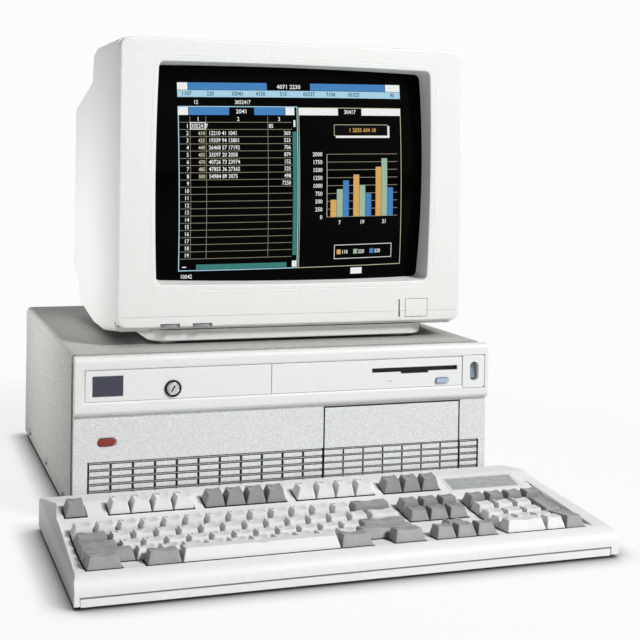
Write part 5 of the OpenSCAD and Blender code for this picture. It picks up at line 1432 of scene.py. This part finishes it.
def lamp(name, place, aim, size, watts, cone=None):
    """A round soft lamp turned from its place to its aim; a cone, in degrees, flags it to a beam."""
    data = bpy.data.lights.new(name, "SPOT" if cone else "AREA")
    if cone:
        data.spot_size = math.radians(cone)
        data.spot_blend = 0.5
        data.shadow_soft_size = size / 2
    else:
        data.shape = "DISK"
        data.size = size
    data.energy = watts
    holder = placed(name, data)
    holder.location = place
    holder.rotation_mode = "QUATERNION"
    holder.rotation_quaternion = (Vector(aim) - Vector(place)).to_track_quat("-Z", "Y")


def camera_turn():
    """The camera's turn to the right, down and over, as a matrix."""
    yaw, pitch, roll = CAMERA_YAW, CAMERA_PITCH, CAMERA_ROLL
    ahead = Vector((math.sin(yaw) * math.cos(pitch), math.cos(yaw) * math.cos(pitch), -math.sin(pitch)))
    right = Vector((math.cos(yaw), -math.sin(yaw), 0))
    up = right.cross(ahead)
    side = right * math.cos(roll) + up * math.sin(roll)
    upright = up * math.cos(roll) - right * math.sin(roll)
    return Matrix((side, upright, -ahead)).transposed().to_4x4()


class COMPUTER_OT_stage(bpy.types.Operator):
    """Sets the floor, soft lamps, pale surroundings and the camera"""

    bl_idname = "computer.stage"
    bl_label = "Stage"

    def execute(self, context):
        scene = context.scene
        stage = scene.computer_stage
        scene.view_settings.view_transform = "Standard"

        bm = bmesh.new()
        bmesh.ops.create_grid(bm, x_segments=1, y_segments=1, size=30)
        mesh = bpy.data.meshes.new("floor")
        bm.to_mesh(mesh)
        bm.free()
        mesh.materials.append(floor_paper(stage.floor_lift))
        floor = placed("floor", mesh)
        scene.world = surroundings(stage.ambient)

        lamp("key_lamp", (2.05, -2.81, 2.97), (0, 0, 0.15), 1.08, stage.key_light)
        lamp("fill_lamp", (-1.5, -1.9, 0.6), (-0.01, 0, 0.33), 0.5, stage.fill_light, cone=12)
        # Its narrow beam reaches the left sides of the cabinet and case, over the keyboard's back
        lamp("side_lamp", (-2.4, 0.55, 0.3), (-0.17, 0.2, 0.2), 0.4, stage.side_light, cone=16)

        data = bpy.data.cameras.new("camera")
        data.lens = stage.lens
        data.sensor_width = 36
        data.shift_y = -0.2257
        data.clip_start = 0.05
        data.clip_end = 100
        camera = placed("camera", data)
        camera.matrix_world = Matrix.Translation(CAMERA_PLACE) @ camera_turn()
        scene.camera = camera
        return {"FINISHED"}


# ---------------------------------------------------------------- sidebar

OPERATORS = (COMPUTER_OT_case, COMPUTER_OT_case_controls, COMPUTER_OT_inside, COMPUTER_OT_monitor_front,
             COMPUTER_OT_monitor_controls, COMPUTER_OT_monitor_cabinet, COMPUTER_OT_picture_tube,
             COMPUTER_OT_picture, COMPUTER_OT_keyboard_case, COMPUTER_OT_keys, COMPUTER_OT_stage)
SETTINGS = {"computer_tones": ComputerTones, "computer_forms": ComputerForms, "computer_stage": ComputerStage}


class COMPUTER_PT_panel(bpy.types.Panel):
    """Lists the pieces of the computer and their settings"""

    bl_idname = "COMPUTER_PT_panel"
    bl_label = "Desktop computer"
    bl_space_type = "VIEW_3D"
    bl_region_type = "UI"
    bl_category = "Computer"

    def draw(self, context):
        layout = self.layout
        for name in SETTINGS:
            group = getattr(context.scene, name)
            box = layout.box()
            for setting in group.__annotations__:
                box.prop(group, setting)
        for operator in OPERATORS:
            layout.operator(operator.bl_idname)


def register():
    """Adds the settings, operators and panel to Blender."""
    for cls in (*SETTINGS.values(), *OPERATORS, COMPUTER_PT_panel):
        bpy.utils.register_class(cls)
    for name, group in SETTINGS.items():
        setattr(bpy.types.Scene, name, PointerProperty(type=group))


def unregister():
    """Takes the settings, operators and panel away again."""
    for name in SETTINGS:
        delattr(bpy.types.Scene, name)
    for cls in (COMPUTER_PT_panel, *reversed(OPERATORS), *SETTINGS.values()):
        bpy.utils.unregister_class(cls)


def main():
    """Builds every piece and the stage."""
    register()
    for operator in OPERATORS:
        group, name = operator.bl_idname.split(".")
        getattr(getattr(bpy.ops, group), name)()


if __name__ == "__main__":
    main()
